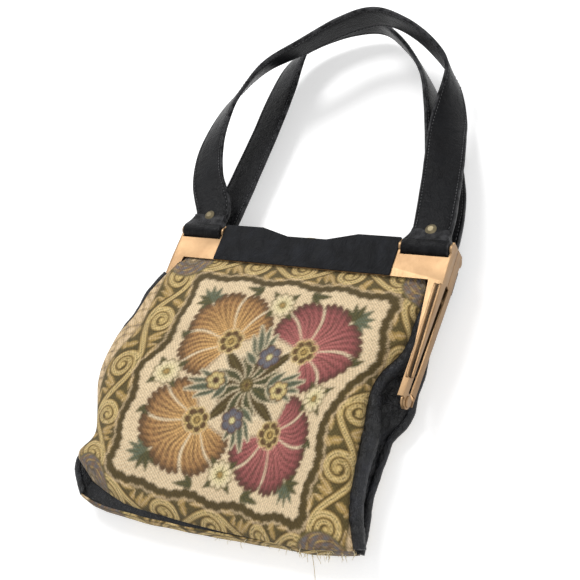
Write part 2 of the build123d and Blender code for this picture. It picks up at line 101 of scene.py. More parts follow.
REAR_RIGHT = [(119, 100), (112, 103), (104, 108), (82, 113), (50, 115), (33, 114.5), (20, 116), (12, 114), (6, 110),
              (0, 106), (-25, 105), (-43, 104), (-60, 106), (-75, 108), (-110, 110)]
REAR_LOW = [(119, 22.6), (114, 22.4), (104, 12.5), (92, 3.4), (84, 1.0), (70, 0.7), (-84, 0.7), (-94, 1.5),
            (-104, 5.0), (-110, 10.0)]

# The foot of the bag runs a little askew, as place across and place along Y, and the front panel's own foot is
# drawn up at the left, where the dark leather of the base shows below it
FOOT_LINE = [(-130, -98), (-116, -101.5), (-103, -103), (-81, -103.5), (-55, -103), (-22, -101.5), (10, -99),
             (51, -95.5), (78, -93.5), (100, -89), (120, -84)]
FRONT_FOOT_LINE = [(-142, -80), (-128, -84), (-106, -91), (-85, -96), (-70, -97), (-22, -97.5), (10, -97),
                   (51, -95), (78, -93.5), (100, -89), (120, -84)]


def at(table, place, ease=4.0):
    """A smooth value from a table of places and values."""
    places = [row[0] for row in reversed(table)]
    values = [row[1] for row in reversed(table)]
    offsets = np.linspace(-ease, ease, 9)
    return float(np.mean(np.interp(place + offsets, places, values)))


def askew(points, line=FOOT_LINE):
    """Points of the body, drawn up towards the foot line below the middle."""
    points = np.array(points, float)
    xs, ys = points[..., 0], points[..., 1]
    foot = np.interp(xs, *zip(*line))
    share = np.clip((ASKEW_FROM - ys) / (ASKEW_FROM - FOOT_Y), 0, 1.2) ** 1.6
    points[..., 1] = ys + (foot - FOOT_Y) * share
    return points


def front_seam_z(y, side=1):
    """Height of the seam along the front panel's edge; on the left the slack cloth lies over the frame's leg."""
    if side < 0:
        return at(LEFT_SEAM, y, 3.0)
    return 21.0 + 14.0 * (y - FOOT_Y) / (FRONT_TOP_Y - FOOT_Y)


# Finishes
BLACK = (0.0, 0.0, 0.0, 1.0)
WHITE = (1.0, 1.0, 1.0, 1.0)


def paint(red, green, blue):
    """A screen colour as the linear colour that a shader takes."""
    linear = []
    for value in (red, green, blue):
        share = value / 255
        linear.append(share / 12.92 if share <= 0.04045 else ((share + 0.055) / 1.055) ** 2.4)
    return (*linear, 1.0)


class Finish:
    """A material with short calls for the nodes that make up its look."""

    def __init__(self, name):
        self.material = bpy.data.materials.new(name)
        self.material.use_nodes = True
        self.tree = self.material.node_tree
        self.shader = self.tree.nodes["Principled BSDF"]
        self.place = self.tree.nodes.new("ShaderNodeTexCoord").outputs["Object"]

    def feed(self, socket, value):
        """Links an output to a socket, or gives the socket a plain value."""
        if isinstance(value, bpy.types.NodeSocket):
            self.tree.links.new(value, socket)
        else:
            socket.default_value = value

    def node(self, kind, inputs=(), **settings):
        made = self.tree.nodes.new(kind)
        for key, value in settings.items():
            setattr(made, key, value)
        for key, value in dict(inputs).items():
            self.feed(made.inputs[key], value)
        return made

    def stretched(self, scale, turn=(0.0, 0.0, 0.0), source=None):
        inputs = {"Vector": source or self.place, "Scale": scale, "Rotation": turn}
        return self.node("ShaderNodeMapping", inputs).outputs[0]

    def noise(self, scale, detail=3.0, roughness=0.5, source=None, distortion=0.0):
        return self.node("ShaderNodeTexNoise", {"Vector": source or self.place, "Scale": scale, "Detail": detail,
                                                "Roughness": roughness, "Distortion": distortion}).outputs["Fac"]

    def cells(self, scale, feature="F1", source=None):
        inputs = {"Vector": source or self.place, "Scale": scale}
        return self.node("ShaderNodeTexVoronoi", inputs, feature=feature).outputs["Distance"]

    def bands(self, scale, direction="X", source=None, distortion=0.0, shape="SIN"):
        inputs = {"Vector": source or self.place, "Scale": scale, "Distortion": distortion}
        return self.node("ShaderNodeTexWave", inputs, wave_type="BANDS", bands_direction=direction,
                         wave_profile=shape).outputs["Fac"]

    def ramp(self, factor, stops):
        made = self.node("ShaderNodeValToRGB", {"Fac": factor})
        points = made.color_ramp.elements
        while len(points) < len(stops):
            points.new(0.5)
        for point, (place, colour) in zip(points, stops):
            point.position = place
            point.color = colour
        return made.outputs["Color"]

    def mask(self, value, low, high):
        return self.ramp(value, [(low, BLACK), (high, WHITE)])

    def spread(self, value, low, high):
        return self.node("ShaderNodeMapRange", {"Value": value, "To Min": low, "To Max": high}).outputs[0]

    def sum(self, first, second, how="ADD"):
        return self.node("ShaderNodeMath", {0: first, 1: second}, operation=how).outputs[0]

    def blend(self, factor, first, second, how="MIX"):
        inputs = {0: factor, 6: first, 7: second}
        return self.node("ShaderNodeMix", inputs, data_type="RGBA", blend_type=how).outputs[2]

    def bump(self, height, strength, distance, under=None):
        inputs = {"Height": height, "Strength": strength, "Distance": distance}
        if under is not None:
            inputs["Normal"] = under
        return self.node("ShaderNodeBump", inputs).outputs["Normal"]

    def set(self, **values):
        for key, value in values.items():
            self.feed(self.shader.inputs[key.replace("_", " ")], value)
        return self.material


def brass(name, light, dark, spots, roughness):
    """Brass sheet with a thin gilding that has dulled in cloudy patches, with fine scratches."""
    finish = Finish(name)
    cloud = finish.noise(38.0, 5.0, 0.6)
    fine = finish.noise(900.0, 2.0, 0.6, finish.stretched((1.0, 0.25, 1.0)))
    speck = finish.cells(420.0)
    tone = finish.ramp(cloud, [(0.34, dark), (0.58, light)])
    spot = finish.ramp(speck, [(0.06, WHITE), (0.16, BLACK)])
    worn = finish.ramp(finish.noise(120.0, 3.0), [(0.52, BLACK), (0.7, (0.55, 0.55, 0.55, 1))])
    colour = finish.blend(finish.blend(1.0, spot, worn, "MULTIPLY"), tone, spots)
    rough = finish.spread(fine, roughness - 0.07, roughness + 0.12)
    normal = finish.bump(fine, 0.12, 0.0003, finish.bump(cloud, 0.15, 0.001))
    return finish.set(Base_Color=colour, Metallic=0.8, Roughness=rough, Normal=normal)


def leather(name, dark, light, roughness, grain, crease, shine):
    """Black leather with pebbled grain, creases and a greyer tone where it has rubbed."""
    finish = Finish(name)
    pebbles = finish.mask(finish.cells(grain, "DISTANCE_TO_EDGE"), 0.0, 0.22)
    creases = finish.noise(crease, 6.0, 0.62, finish.stretched((1.0, 0.6, 1.0)), 1.2)
    colour = finish.blend(finish.mask(finish.noise(60.0, 5.0, 0.65), 0.46, 0.72), dark, light)
    rough = finish.spread(creases, roughness - 0.1, roughness + 0.12)
    normal = finish.bump(pebbles, 0.35, 0.0003, finish.bump(creases, 1.0, 0.003))
    return finish.set(Base_Color=colour, Roughness=rough, Normal=normal, Specular_IOR_Level=shine)


def strap_finish():
    """Smooth saddle leather, dyed black, with a paler worn edge kept in the strap's own tone."""
    finish = Finish("strap_leather")
    wear = finish.node("ShaderNodeAttribute", attribute_name="wear").outputs["Fac"]
    worn = finish.sum(wear, finish.mask(finish.noise(160.0, 4.0, 0.6), 0.38, 0.6), "MULTIPLY")
    body = finish.ramp(finish.noise(45.0, 4.0), [(0.35, paint(5, 5, 7)), (0.7, paint(13, 14, 17))])
    colour = finish.blend(worn, body, paint(62, 62, 64))
    creases = finish.noise(75.0, 5.0, 0.6, None, 0.8)
    pores = finish.cells(800.0)
    wrinkles = finish.noise(330.0, 6.0, 0.7, None, 1.0)
    normal = finish.bump(pores, 0.4, 0.0004, finish.bump(wrinkles, 0.7, 0.001, finish.bump(creases, 0.6, 0.002)))
    return finish.set(Base_Color=colour, Roughness=0.33, Normal=normal, Specular_IOR_Level=0.1)


def tapestry_finish():
    """Woven cloth: the pattern's colour from the cloth itself, broken into threads and lifted by the weave."""
    finish = Finish("tapestry")
    colour = finish.node("ShaderNodeAttribute", attribute_name="tapestry").outputs["Color"]
    cloth_place = finish.node("ShaderNodeUVMap", uv_map="cloth").outputs["UV"]
    warp = finish.bands(0.42, "X", cloth_place, 0.6)
    weft = finish.bands(0.36, "Y", cloth_place, 0.6)
    twill = finish.bands(0.25, "DIAGONAL", cloth_place, 0.4)
    thread = finish.sum(warp, weft, "MULTIPLY")
    slub = finish.noise(0.55, 3.0, 0.6, cloth_place)
    fade = finish.noise(0.03, 4.0, 0.6, cloth_place)
    for share, value, low, high in (
            (0.4, thread, (0.0, (0.62, 0.6, 0.56, 1)), (0.5, (1.02, 1.02, 1.02, 1))),
            (0.8, slub, (0.3, (0.72, 0.7, 0.66, 1)), (0.62, (1.14, 1.13, 1.1, 1))),
            (0.6, twill, (0.15, (0.74, 0.71, 0.66, 1)), (0.6, (1.07, 1.07, 1.07, 1))),
            (0.8, fade, (0.3, (0.9, 0.88, 0.85, 1)), (0.7, (1.06, 1.06, 1.05, 1)))):
        colour = finish.blend(share, colour, finish.ramp(value, [low, high]), "MULTIPLY")
    normal = finish.bump(twill, 0.35, 0.0004, finish.bump(thread, 0.4, 0.0004, finish.bump(slub, 0.5, 0.0007)))
    return finish.set(Base_Color=colour, Roughness=0.92, Normal=normal, Sheen_Weight=0.12)


def cloth_finish(name, dark, light):
    """Plain woven lining cloth."""
    finish = Finish(name)
    weave = finish.sum(finish.bands(500.0, "X"), finish.bands(500.0, "Y"), "MULTIPLY")
    colour = finish.ramp(finish.noise(90.0, 4.0), [(0.35, dark), (0.65, light)])
    return finish.set(Base_Color=colour, Roughness=0.9, Normal=finish.bump(weave, 0.3, 0.0003))


GILT = brass("gilt_brass", paint(160, 130, 96), paint(146, 116, 84), paint(84, 62, 40), 0.42)
# Very dark brass for the leg's groove: its colour is painted shade, standing in for the shadow in the channel
GROOVE_SHADE_BRASS = brass("groove_brass", paint(60, 46, 30), paint(40, 32, 22), paint(24, 18, 12), 0.5)
OLD_BRASS = brass("old_brass", paint(122, 112, 88), paint(88, 80, 60), paint(50, 42, 28), 0.44)
COVER_LEATHER = leather("cover_leather", paint(13, 14, 17), paint(27, 29, 34), 0.62, 900.0, 110.0, 0.16)
GUSSET_LEATHER = leather("gusset_leather", paint(6, 7, 9), paint(18, 20, 26), 0.3, 700.0, 190.0, 0.34)
PIPING_LEATHER = leather("piping_leather", paint(7, 8, 10), paint(30, 32, 40), 0.32, 800.0, 260.0, 0.36)
STRAP_LEATHER = strap_finish()
TAPESTRY = tapestry_finish()
LINING = cloth_finish("lining_cloth", paint(96, 74, 52), paint(122, 98, 70))
STITCH_THREAD = cloth_finish("stitch_thread", paint(60, 60, 62), paint(98, 98, 100))
LOOSE_THREAD = cloth_finish("loose_thread", paint(206, 190, 150), paint(232, 220, 190))


# Helpers that make and finish meshes
def mesh_piece(name, points, faces, material):
    """A smooth-shaded piece from points in millimetres."""
    mesh = bpy.data.meshes.new(name)
    mesh.from_pydata([tuple(float(c) * MM for c in point) for point in points], [], faces)
    mesh.update()
    piece = bpy.data.objects.new(name, mesh)
    bpy.context.scene.collection.objects.link(piece)
    mesh.materials.append(material)
    mesh.polygons.foreach_set("use_smooth", [True] * len(mesh.polygons))
    return piece


def grid_faces(rows, columns, start=0, closed=False):
    """Faces of a grid of points, row by row; closed joins the last column to the first."""
    faces = []
    for row in range(rows - 1):
        for column in range(columns if closed else columns - 1):
            after = (column + 1) % columns
            low = start + row * columns
            high = low + columns
            faces.append((low + column, low + after, high + after, high + column))
    return faces


def grid_piece(name, grid, material, flip=False):
    """A smooth-shaded piece over a grid of points, with its faces turned over where asked."""
    faces = grid_faces(*grid.shape[:2])
    if flip:
        faces = [tuple(reversed(face)) for face in faces]
    return mesh_piece(name, grid.reshape(-1, 3), faces, material)


def end_faces(start, stop, sides):
    """Faces that close both ends of a closed grid of points."""
    return [tuple(reversed(range(start, start + sides))), tuple(range(stop - sides, stop))]


def chosen(piece):
    for other in list(bpy.context.selected_objects):
        other.select_set(False)
    piece.select_set(True)
    bpy.context.view_layer.objects.active = piece


def finished(piece, kind, **settings):
    """The piece with a modifier added and applied."""
    modifier = piece.modifiers.new(kind.lower(), kind)
    for key, value in settings.items():
        setattr(modifier, key, value)
    chosen(piece)
    bpy.ops.object.modifier_apply(modifier=modifier.name)
    return piece


def outward(piece):
    chosen(piece)
    bpy.ops.object.mode_set(mode="EDIT")
    bpy.ops.mesh.select_all(action="SELECT")
    bpy.ops.mesh.normals_make_consistent(inside=False)
    bpy.ops.object.mode_set(mode="OBJECT")
    return piece


def even(points, count):
    """The same line with its points evenly spaced."""
    points = np.asarray(points, float)
    steps = np.linalg.norm(np.diff(points, axis=0), axis=1)
    length = np.concatenate([[0.0], np.cumsum(steps)])
    places = np.linspace(0.0, length[-1], count)
    return np.stack([np.interp(places, length, points[:, axis]) for axis in range(points.shape[1])], axis=1)


def curved(points, per_span):
    """A smooth line through points, by Catmull and Rom's rule."""
    points = np.asarray(points, float)
    padded = np.vstack([2 * points[0] - points[1], points, 2 * points[-1] - points[-2]])
    out = []
    for k in range(len(points) - 1):
        a, b, c, d = padded[k:k + 4]
        for t in np.linspace(0.0, 1.0, per_span, endpoint=False):
            square, cube = (2 * a - 5 * b + 4 * c - d) * t ** 2, (3 * b - a - 3 * c + d) * t ** 3
            out.append(0.5 * (2 * b + (c - a) * t + square + cube))
    out.append(points[-1])
    return np.array(out)


def ripple(x, y, seed, size):
    """A gentle uneven swell, from -1 to 1, made of a few crossing waves."""
    rule = np.random.default_rng(seed)
    total = 0.0
    for k in range(6):
        angle = rule.uniform(0, math.pi)
        wave = size * rule.uniform(0.6, 1.6)
        total = total + np.sin((x * math.cos(angle) + y * math.sin(angle)) * 2 * math.pi / wave + rule.uniform(0, 6.28))
    return total / 3.2


def tube(path, radius, sides=12):
    """Points and faces of a round roll along a path; radius may be one value for each point."""
    path = np.asarray(path, float)
    radii = np.broadcast_to(np.asarray(radius, float), (len(path),))
    along = np.gradient(path, axis=0)
    along /= np.linalg.norm(along, axis=1)[:, None]
    side = np.cross(along[0], (0.0, 0.0, 1.0))
    if np.linalg.norm(side) < 0.1:
        side = np.array([1.0, 0.0, 0.0])
    points = []
    for place, way, size in zip(path, along, radii):
        side = side - way * np.dot(side, way)
        side /= np.linalg.norm(side)
        other = np.cross(way, side)
        for k in range(sides):
            angle = 2 * math.pi * k / sides
            points.append(place + size * (math.cos(angle) * side + math.sin(angle) * other))
    return points, grid_faces(len(path), sides, 0, True) + end_faces(0, len(points), sides)


# Colours and places of the tapestry's pattern
CREAM = paint(231, 205, 168)
CREAM_LIGHT = paint(240, 222, 190)
GOLD = paint(230, 204, 138)
GOLD_DEEP = paint(184, 154, 92)
OLIVE = paint(80, 65, 25)
OLIVE_LIGHT = paint(112, 100, 56)
BROWN = paint(96, 62, 36)
ORANGE = paint(150, 106, 66)
ORANGE_DEEP = paint(78, 58, 34)
ORANGE_PALE = paint(240, 194, 126)
PINK = paint(138, 70, 72)
PINK_DEEP = paint(78, 54, 40)
PINK_PALE = paint(206, 126, 122)
FADED_BLUE = paint(112, 108, 112)
FADED_BROWN = paint(132, 106, 84)
LEAF = paint(74, 74, 42)
LEAF_BLUE = paint(96, 106, 86)
BLUE = paint(88, 88, 102)
BLUE_PALE = paint(136, 134, 140)
PALE_YELLOW = paint(236, 226, 168)
YELLOW = paint(206, 180, 118)

# The four corners, as the signs of their places
CORNERS = [(-1, -1), (-1, 1), (1, -1), (1, 1)]

# The pattern's middle on the front panel, the step between its flowers, the edge of its field, the middle of its
# border and the length of one scroll
PATTERN_X = 6.0
PATTERN_Y = 7.0
PATTERN_STEP = 68.8
FIELD_HALF = 86.0
BORDER_MIDDLE = 108.0
SCROLL_STEP = 43.0


def edge(distance, soft=0.9):
    """1 where distance is below zero, 0 above it, softened over about a thread."""
    return np.clip(0.5 - distance / (2 * soft), 0.0, 1.0)


def laid(colours, colour, mask):
    """Lays a colour over the pattern where mask is 1."""
    target = np.asarray(colour)[..., :3]
    return colours + (target - colours) * np.asarray(mask)[..., None]


def between(first, second, share):
    """A mix of two colours."""
    first, second = np.asarray(first)[:3], np.asarray(second)[:3]
    return first + (second - first) * np.clip(share, 0, 1)[..., None]


def around(u, v, centre_u, centre_v, start=0.0):
    """Distance and angle from a centre, the angle from -pi to pi about a starting direction."""
    du, dv = u - centre_u, v - centre_v
    return np.hypot(du, dv), (np.arctan2(dv, du) - start + math.pi) % (2 * math.pi) - math.pi


def bloom(colours, u, v, centre, radius, petals, outer, inner, rim, heart, turn=0.0, heart_share=0.3):
    """A round flower with notched petals."""
    r, angle = around(u, v, *centre)
    lobes = np.abs(np.cos((angle + turn) * petals / 2))
    reach = radius * (0.72 + 0.28 * lobes ** 0.6)
    colours = laid(colours, rim, edge(r - reach - 0.9))
    colours = laid(colours, between(inner, outer, r / radius), edge(r - reach + 0.3))
    colours = laid(colours, rim, edge(lobes * r - 0.8, 0.6) * edge(r - reach) * edge(radius * heart_share - r) * 0.8)
    colours = laid(colours, rim, edge(r - radius * heart_share - 0.6))
    return laid(colours, heart, edge(r - radius * heart_share + 0.6))


def leaf(colours, u, v, foot, direction, length, width, colour, vein, outline=None):
    """A pointed leaf with a lighter vein, and a line round it where it crosses other parts."""
    du, dv = u - foot[0], v - foot[1]
    along = du * math.cos(direction) + dv * math.sin(direction)
    across = -du * math.sin(direction) + dv * math.cos(direction)
    share = np.clip(along / length, 0, 1)
    half = width / 2 * np.sin(math.pi * share ** 0.8)
    half = half * (1.0 + 0.13 * np.sin(along * 2.2))
    if outline is not None:
        colours = laid(colours, outline, edge(np.abs(across) - half - 1.1) * (along > 1) * (along < length))
    inside = edge(np.abs(across) - half) * (along > 0) * (along < length)
    colours = laid(colours, colour, inside)
    return laid(colours, vein, inside * edge(np.abs(across) - 0.35, 0.5) * 0.8)


def fan(colours, u, v, side_u, side_v, deep, mid, pale):
    """A big open flower that spreads outwards from its heart like a fan, streaked along its petals."""
    centre = (side_u * 0.48 * PATTERN_STEP, side_v * 0.48 * PATTERN_STEP)
    start = math.atan2(side_v, side_u)
    r, angle = around(u, v, *centre, start)
    wide = math.radians(128)
    petals = 6
    bent = angle + 0.16 * np.sin(r / 13.0) * np.sign(angle)
    cell = (bent + wide) / (2 * wide) * petals
    within = np.abs((cell % 1) - 0.5) * 2
    lean = 1.0 - 0.30 * np.abs(angle / wide) ** 2.2
    notch = np.sqrt(np.abs(np.sin(cell * math.pi * 5)))
    reach = 45.0 * lean * (0.78 + 0.14 * np.sqrt(np.clip(1 - within ** 2.6, 0, 1)) + 0.08 * notch)
    inside = edge(r - reach) * edge((np.abs(bent) - wide) * r)
    share = np.clip(r / (44.0 * lean), 0, 1)
    streak = 0.5 + 0.5 * np.sin(cell * 2 * math.pi * 5 + 0.9 * np.sin(r / 3.2))
    barbs = 0.5 + 0.5 * np.sin(r * 1.5 + within * 7.0)
    tone = between(mid, pale, (1.45 - share * 1.35) * (0.3 + 0.7 * streak))
    tone = laid(tone, deep, 0.62 * barbs * (1 - streak) * np.clip(share * 1.6, 0, 1))
    tone = laid(tone, deep, 0.75 * np.clip((r - reach + 7.0) / 6.0, 0, 1))
    tone = laid(tone, deep, 0.6 * edge(within * r * wide / petals - 0.5, 0.5) * (share < 0.8))
    colours = laid(colours, BROWN, edge(r - reach - 0.9) * edge((np.abs(bent) - wide) * r - 0.9) * 0.9)
    colours = laid(colours, tone, inside)
    seam = edge((1 - within) * r * wide / petals - 0.35 - 0.022 * r, 0.6) * (r > 11) * edge(r - reach - 1.0) * inside
    return laid(colours, CREAM_LIGHT, seam * 0.9)


def scrolls(colours, along, across, inside):
    """A running border: a waving gold stem, a volute in each of its bays, and leafy tips in the corners."""
    number = np.floor(along / SCROLL_STEP + 0.5)
    place = along - number * SCROLL_STEP
    rise = across * np.where(number % 2 == 0, 1.0, -1.0)
    drawn = between(OLIVE, OLIVE_LIGHT, 0.35 + 0.4 * np.sin(along * 1.7) * np.sin(across * 1.9))
    tips = (((-20, -3), 1.3, 17, 7.0), ((-17, 2), 0.9, 14, 5.0), ((20, 3), 1.9, 13, 6.0), ((18, -4), -1.2, 12, 5.0),
            ((-11, 12), 0.2, 17, 4.5), ((8, -15.5), 0.1, 13, 4.0), ((-8, -15.5), 3.0, 12, 4.0), ((13, 11), 0.7, 9, 5.0))
    for foot, way, size, wide in tips:
        drawn = leaf(drawn, place, rise, foot, way, size, wide, GOLD_DEEP, CREAM)
    bend = math.pi / SCROLL_STEP
    slope = 11.5 * bend * np.sin(bend * place)
    middle = np.abs(rise + 11.5 * np.cos(bend * place)) / np.sqrt(1 + slope ** 2)
    depth = middle - 2.3
    r, angle = np.hypot(place, rise - 1.0), np.arctan2(rise - 1.0, place)
    for turn in range(3):
        swept = (angle + 2 * math.pi * turn + math.pi / 2) / (3.6 * math.pi)
        here = (swept >= 0) & (swept <= 1)
        off = np.where(here, np.abs(r - (12.0 - 9.8 * swept)), 99.0)
        score = off - (2.7 - 1.2 * swept)
        middle = np.where(score < depth, off, middle)
        depth = np.minimum(depth, score)
    depth = np.minimum(depth, r - 2.4)
    tone = between(GOLD_DEEP, GOLD, -depth / 1.6)
    drawn = laid(drawn, OLIVE, edge(depth - 1.5, 0.5))
    drawn = laid(drawn, tone, edge(depth, 0.6))
    drawn = laid(drawn, CREAM, edge(np.abs(middle - 1.1) - 0.35, 0.4) * edge(depth + 0.9, 0.4) * 0.55)
    drawn = laid(drawn, OLIVE_LIGHT, edge(middle - 0.35, 0.35) * edge(depth + 1.4, 0.4) * 0.9)
    return laid(colours, drawn, inside)


def drawn_left(u, v):
    """Places of the pattern on the slack front panel, which is pulled to the left below its middle."""
    low = np.clip((42.0 - v) / 50.0, 0, 1)
    low = low * low * (3 - 2 * low)
    pulled = u + (np.interp(u, [-206, -106, -40, 27, 62, 162], [-186, -86, -34, 34, 86, 186]) - u) * low
    corner = np.clip((-pulled - 72.0) / 40.0, 0, 1) * np.clip((-v - 40.0) / 40.0, 0, 1)
    return pulled, v - 16.0 * corner


def tapestry(u, v):
    """The cloth's colours at places u across and v up from the pattern's middle, in millimetres."""
    q = PATTERN_STEP
    au, av = np.abs(u), np.abs(v)
    colours = np.ones(u.shape + (3,)) * np.asarray(OLIVE)[:3]
    colours = laid(colours, OLIVE_LIGHT, 0.5 + 0.5 * np.sin(u * 0.9) * np.sin(v * 0.9))
    on_side = au >= av
    colours = scrolls(colours, v, au - BORDER_MIDDLE, on_side * (au > FIELD_HALF))
    colours = scrolls(colours, u, av - BORDER_MIDDLE, ~on_side * (av > FIELD_HALF))
    outside = np.maximum(au, av) - BORDER_MIDDLE - 17.0
    colours = laid(colours, CREAM, edge(-outside))
    sprigs = np.abs(np.sin(u * 0.42 + 1.3 * np.sin(v * 0.31)) + np.sin(v * 0.47 + 1.1 * np.sin(u * 0.29)))
    colours = laid(colours, ORANGE_DEEP, edge(sprigs - 0.22, 0.2) * edge(-outside) * 0.75)
    colours = laid(colours, GOLD_DEEP, edge(np.abs(sprigs - 0.6) - 0.16, 0.15) * edge(-outside) * 0.8)
    for su, sv in CORNERS:
        corner = (su * BORDER_MIDDLE, sv * BORDER_MIDDLE)
        r, angle = around(u, v, *corner)
        speckled = 0.5 + 0.9 * np.sin(u * 0.8 + 2 * np.sin(v * 0.5)) * np.sin(v * 0.7)
        colours = laid(colours, OLIVE_LIGHT, edge(r - 21.0))
        colours = laid(colours, between(FADED_BROWN, FADED_BLUE, speckled), edge(r - 19.5))
        curls = np.abs(np.sin(angle * 3 + r * 0.55)) + 0.25 * np.sin(r * 1.3)
        colours = laid(colours, GOLD_DEEP, edge(curls - 0.3, 0.2) * edge(r - 18.5) * 0.85)
        colours = laid(colours, OLIVE, edge(np.abs(curls - 0.52) - 0.08, 0.12) * edge(r - 18.5) * 0.7)
        colours = bloom(colours, u, v, corner, 8.0, 7, FADED_BLUE, GOLD_DEEP, OLIVE, CREAM, 0.2 * su)
    turns = np.where(on_side, v, u) * 2 * math.pi
    wave = 1.9 * np.cos(turns / SCROLL_STEP + math.pi) + 0.6 * np.cos(turns / (SCROLL_STEP / 5))
    wave = wave + 0.35 * np.sin(turns / 2.6)
    soft_corner = ((au / FIELD_HALF) ** 16 + (av / FIELD_HALF) ** 16) ** (1 / 16) * FIELD_HALF
    far = soft_corner - FIELD_HALF + wave
    colours = laid(colours, CREAM, edge(np.abs(far - 7.2) - 0.8) * 0.7)
    colours = laid(colours, OLIVE, edge(far - 5.6))
    weave = 0.5 + 0.5 * np.sin((u - v) * 2 * math.pi / 3.1)
    field = edge(far)
    colours = laid(colours, between(CREAM, CREAM_LIGHT, weave), field)
    under = colours
    for su, sv in CORNERS:
        diagonal = math.atan2(sv, su)
        foot = (su * 0.93 * q, sv * 0.93 * q)
        for k, turn in enumerate((0.0, 0.5, -0.5, 1.0, -1.0, 1.6, -1.6, 2.2, -2.2)):
            shade = LEAF if k % 2 else LEAF_BLUE
            colours = leaf(colours, u, v, foot, diagonal + turn, 17 - 1.5 * abs(turn), 5.0, shade, OLIVE_LIGHT)
        for du, dv, way in ((0.42, 1.16, 0.15), (1.16, 0.42, 1.42)):
            turn = math.atan2(sv * math.sin(way), su * math.cos(way))
            for lean, size in ((0.0, 17), (0.7, 11), (-0.7, 11)):
                start = (su * (du * q - 7), sv * dv * q)
                colours = leaf(colours, u, v, start, turn + lean, size, 5.0, LEAF, OLIVE_LIGHT)
    for su, deep, mid, pale in ((-1, ORANGE_DEEP, ORANGE, ORANGE_PALE), (1, PINK_DEEP, PINK, PINK_PALE)):
        for sv in (-1, 1):
            colours = fan(colours, u, v, su, sv, deep, mid, pale)
    r, angle = around(u, v, 0.0, 0.0)
    wedge = np.abs((angle + math.pi / 4) % (math.pi / 2) - math.pi / 4) * r
    toward = np.abs((angle % (math.pi / 2)) - math.pi / 4) * r
    colours = laid(colours, CREAM_LIGHT, edge(toward - 7.0) * edge(r - 30.0) * edge(9.0 - r))
    colours = laid(colours, BROWN, edge(toward - 5.6) * edge(r - 27.0) * edge(10.0 - r))
    colours = laid(colours, GOLD_DEEP, edge(np.abs(toward - 2.6) - 0.7, 0.5) * edge(r - 25.0) * edge(14.0 - r) * 0.9)
    colours = laid(colours, OLIVE_LIGHT, edge(wedge - 3.0) * edge(r - 22.0) * 0.8)
    for k in range(16):
        way = 2 * math.pi * k / 16 + 0.12
        foot = (5 * math.cos(way), 5 * math.sin(way))
        shade = LEAF if k % 2 else OLIVE
        reach = (36, 24, 40, 28)[k % 4]
        colours = leaf(colours, u, v, foot, way, reach, 9.6, shade, OLIVE_LIGHT, CREAM_LIGHT)
    sprays = ((-0.5, 22, 24), (0.5, 22, 24), (-0.16, 26, 24), (0.2, 26, 26), (-0.85, 18, 16), (0.85, 18, 16))
    for k in range(4):
        way = math.pi / 2 * k + 0.12
        for lean, start, size in sprays:
            foot = (start * math.cos(way), start * math.sin(way))
            colours = leaf(colours, u, v, foot, way + lean, size, 5.6, LEAF_BLUE, OLIVE, CREAM_LIGHT)
    colours = bloom(colours, u, v, (0, 0), 5.0, 8, OLIVE_LIGHT, GOLD_DEEP, OLIVE, BROWN)
    for centre in ((0.1 * q, 0.36 * q), (-0.04 * q, -0.41 * q)):
        colours = bloom(colours, u, v, centre, 9.5, 6, BLUE, BLUE_PALE, BROWN, PALE_YELLOW, 0.3)
    for su in (-1, 1):
        colours = bloom(colours, u, v, (su * 0.42 * q, 0.0), 7.5, 6, YELLOW, PALE_YELLOW, BROWN, ORANGE_DEEP)
    for centre in ((0, q), (0, -q), (q, 0), (-q, 0)):
        for k in range(4):
            way = math.pi / 4 + k * math.pi / 2
            colours = leaf(colours, u, v, centre, way, 17, 6.5, LEAF, OLIVE_LIGHT)
        colours = bloom(colours, u, v, centre, 10.5, 10, CREAM_LIGHT, PALE_YELLOW, OLIVE_LIGHT, GOLD_DEEP, 0.2, 0.24)
    for su, sv in CORNERS:
        centre = (su * 0.48 * q, sv * 0.48 * q)
        colours = bloom(colours, u, v, centre, 10.0, 7, BROWN, OLIVE_LIGHT, GOLD, GOLD_DEEP, 0.4, 0.42)
        r, _ = around(u, v, *centre)
        colours = laid(colours, OLIVE, edge(np.abs(r - 2.2) - 0.5, 0.5))
        colours = laid(colours, CREAM, edge(np.abs(r - 10.8) - 0.5, 0.5) * 0.6)
    colours = laid(under, colours, field)
    faded = 0.03 * ripple(u, v, 5, 60.0)
    return np.clip(colours * (1.0 + faded[..., None]), 0, 1)


# Body of the bag
def crossing(y, left, right, seam_left, seam_right, crown, power_left, power_right, count):
    """A line across the bag from its left seam over the crown to its right seam."""
    angle = np.linspace(0.0, math.pi, 240)
    middle, half = (left + right) / 2, (right - left) / 2
    power = np.where(angle < math.pi / 2, power_left, power_right)
    reach = np.abs(np.cos(angle)) ** (2 / power) * np.sign(-np.cos(angle))
    lift = np.abs(np.sin(angle)) ** (2 / power)
    seam = np.where(angle < math.pi / 2, seam_left, seam_right)
    line = np.stack([middle + half * reach, np.full_like(angle, y), seam + (crown - seam) * lift], axis=1)
    return even(line, count)


front_rows = []
for y in np.linspace(CLOTH_TOP_Y, FOOT_Y, FRONT_GRID[0]):
    crown = at(CROWN, y, 2.5)
    left_seam = min(front_seam_z(y, -1), crown - 0.3)
    front_rows.append(crossing(y, at(FRONT_LEFT, y), at(FRONT_RIGHT, y), left_seam, front_seam_z(y), crown, 5.0, 3.4,
                               FRONT_GRID[1]))
front_grid = np.array(front_rows)

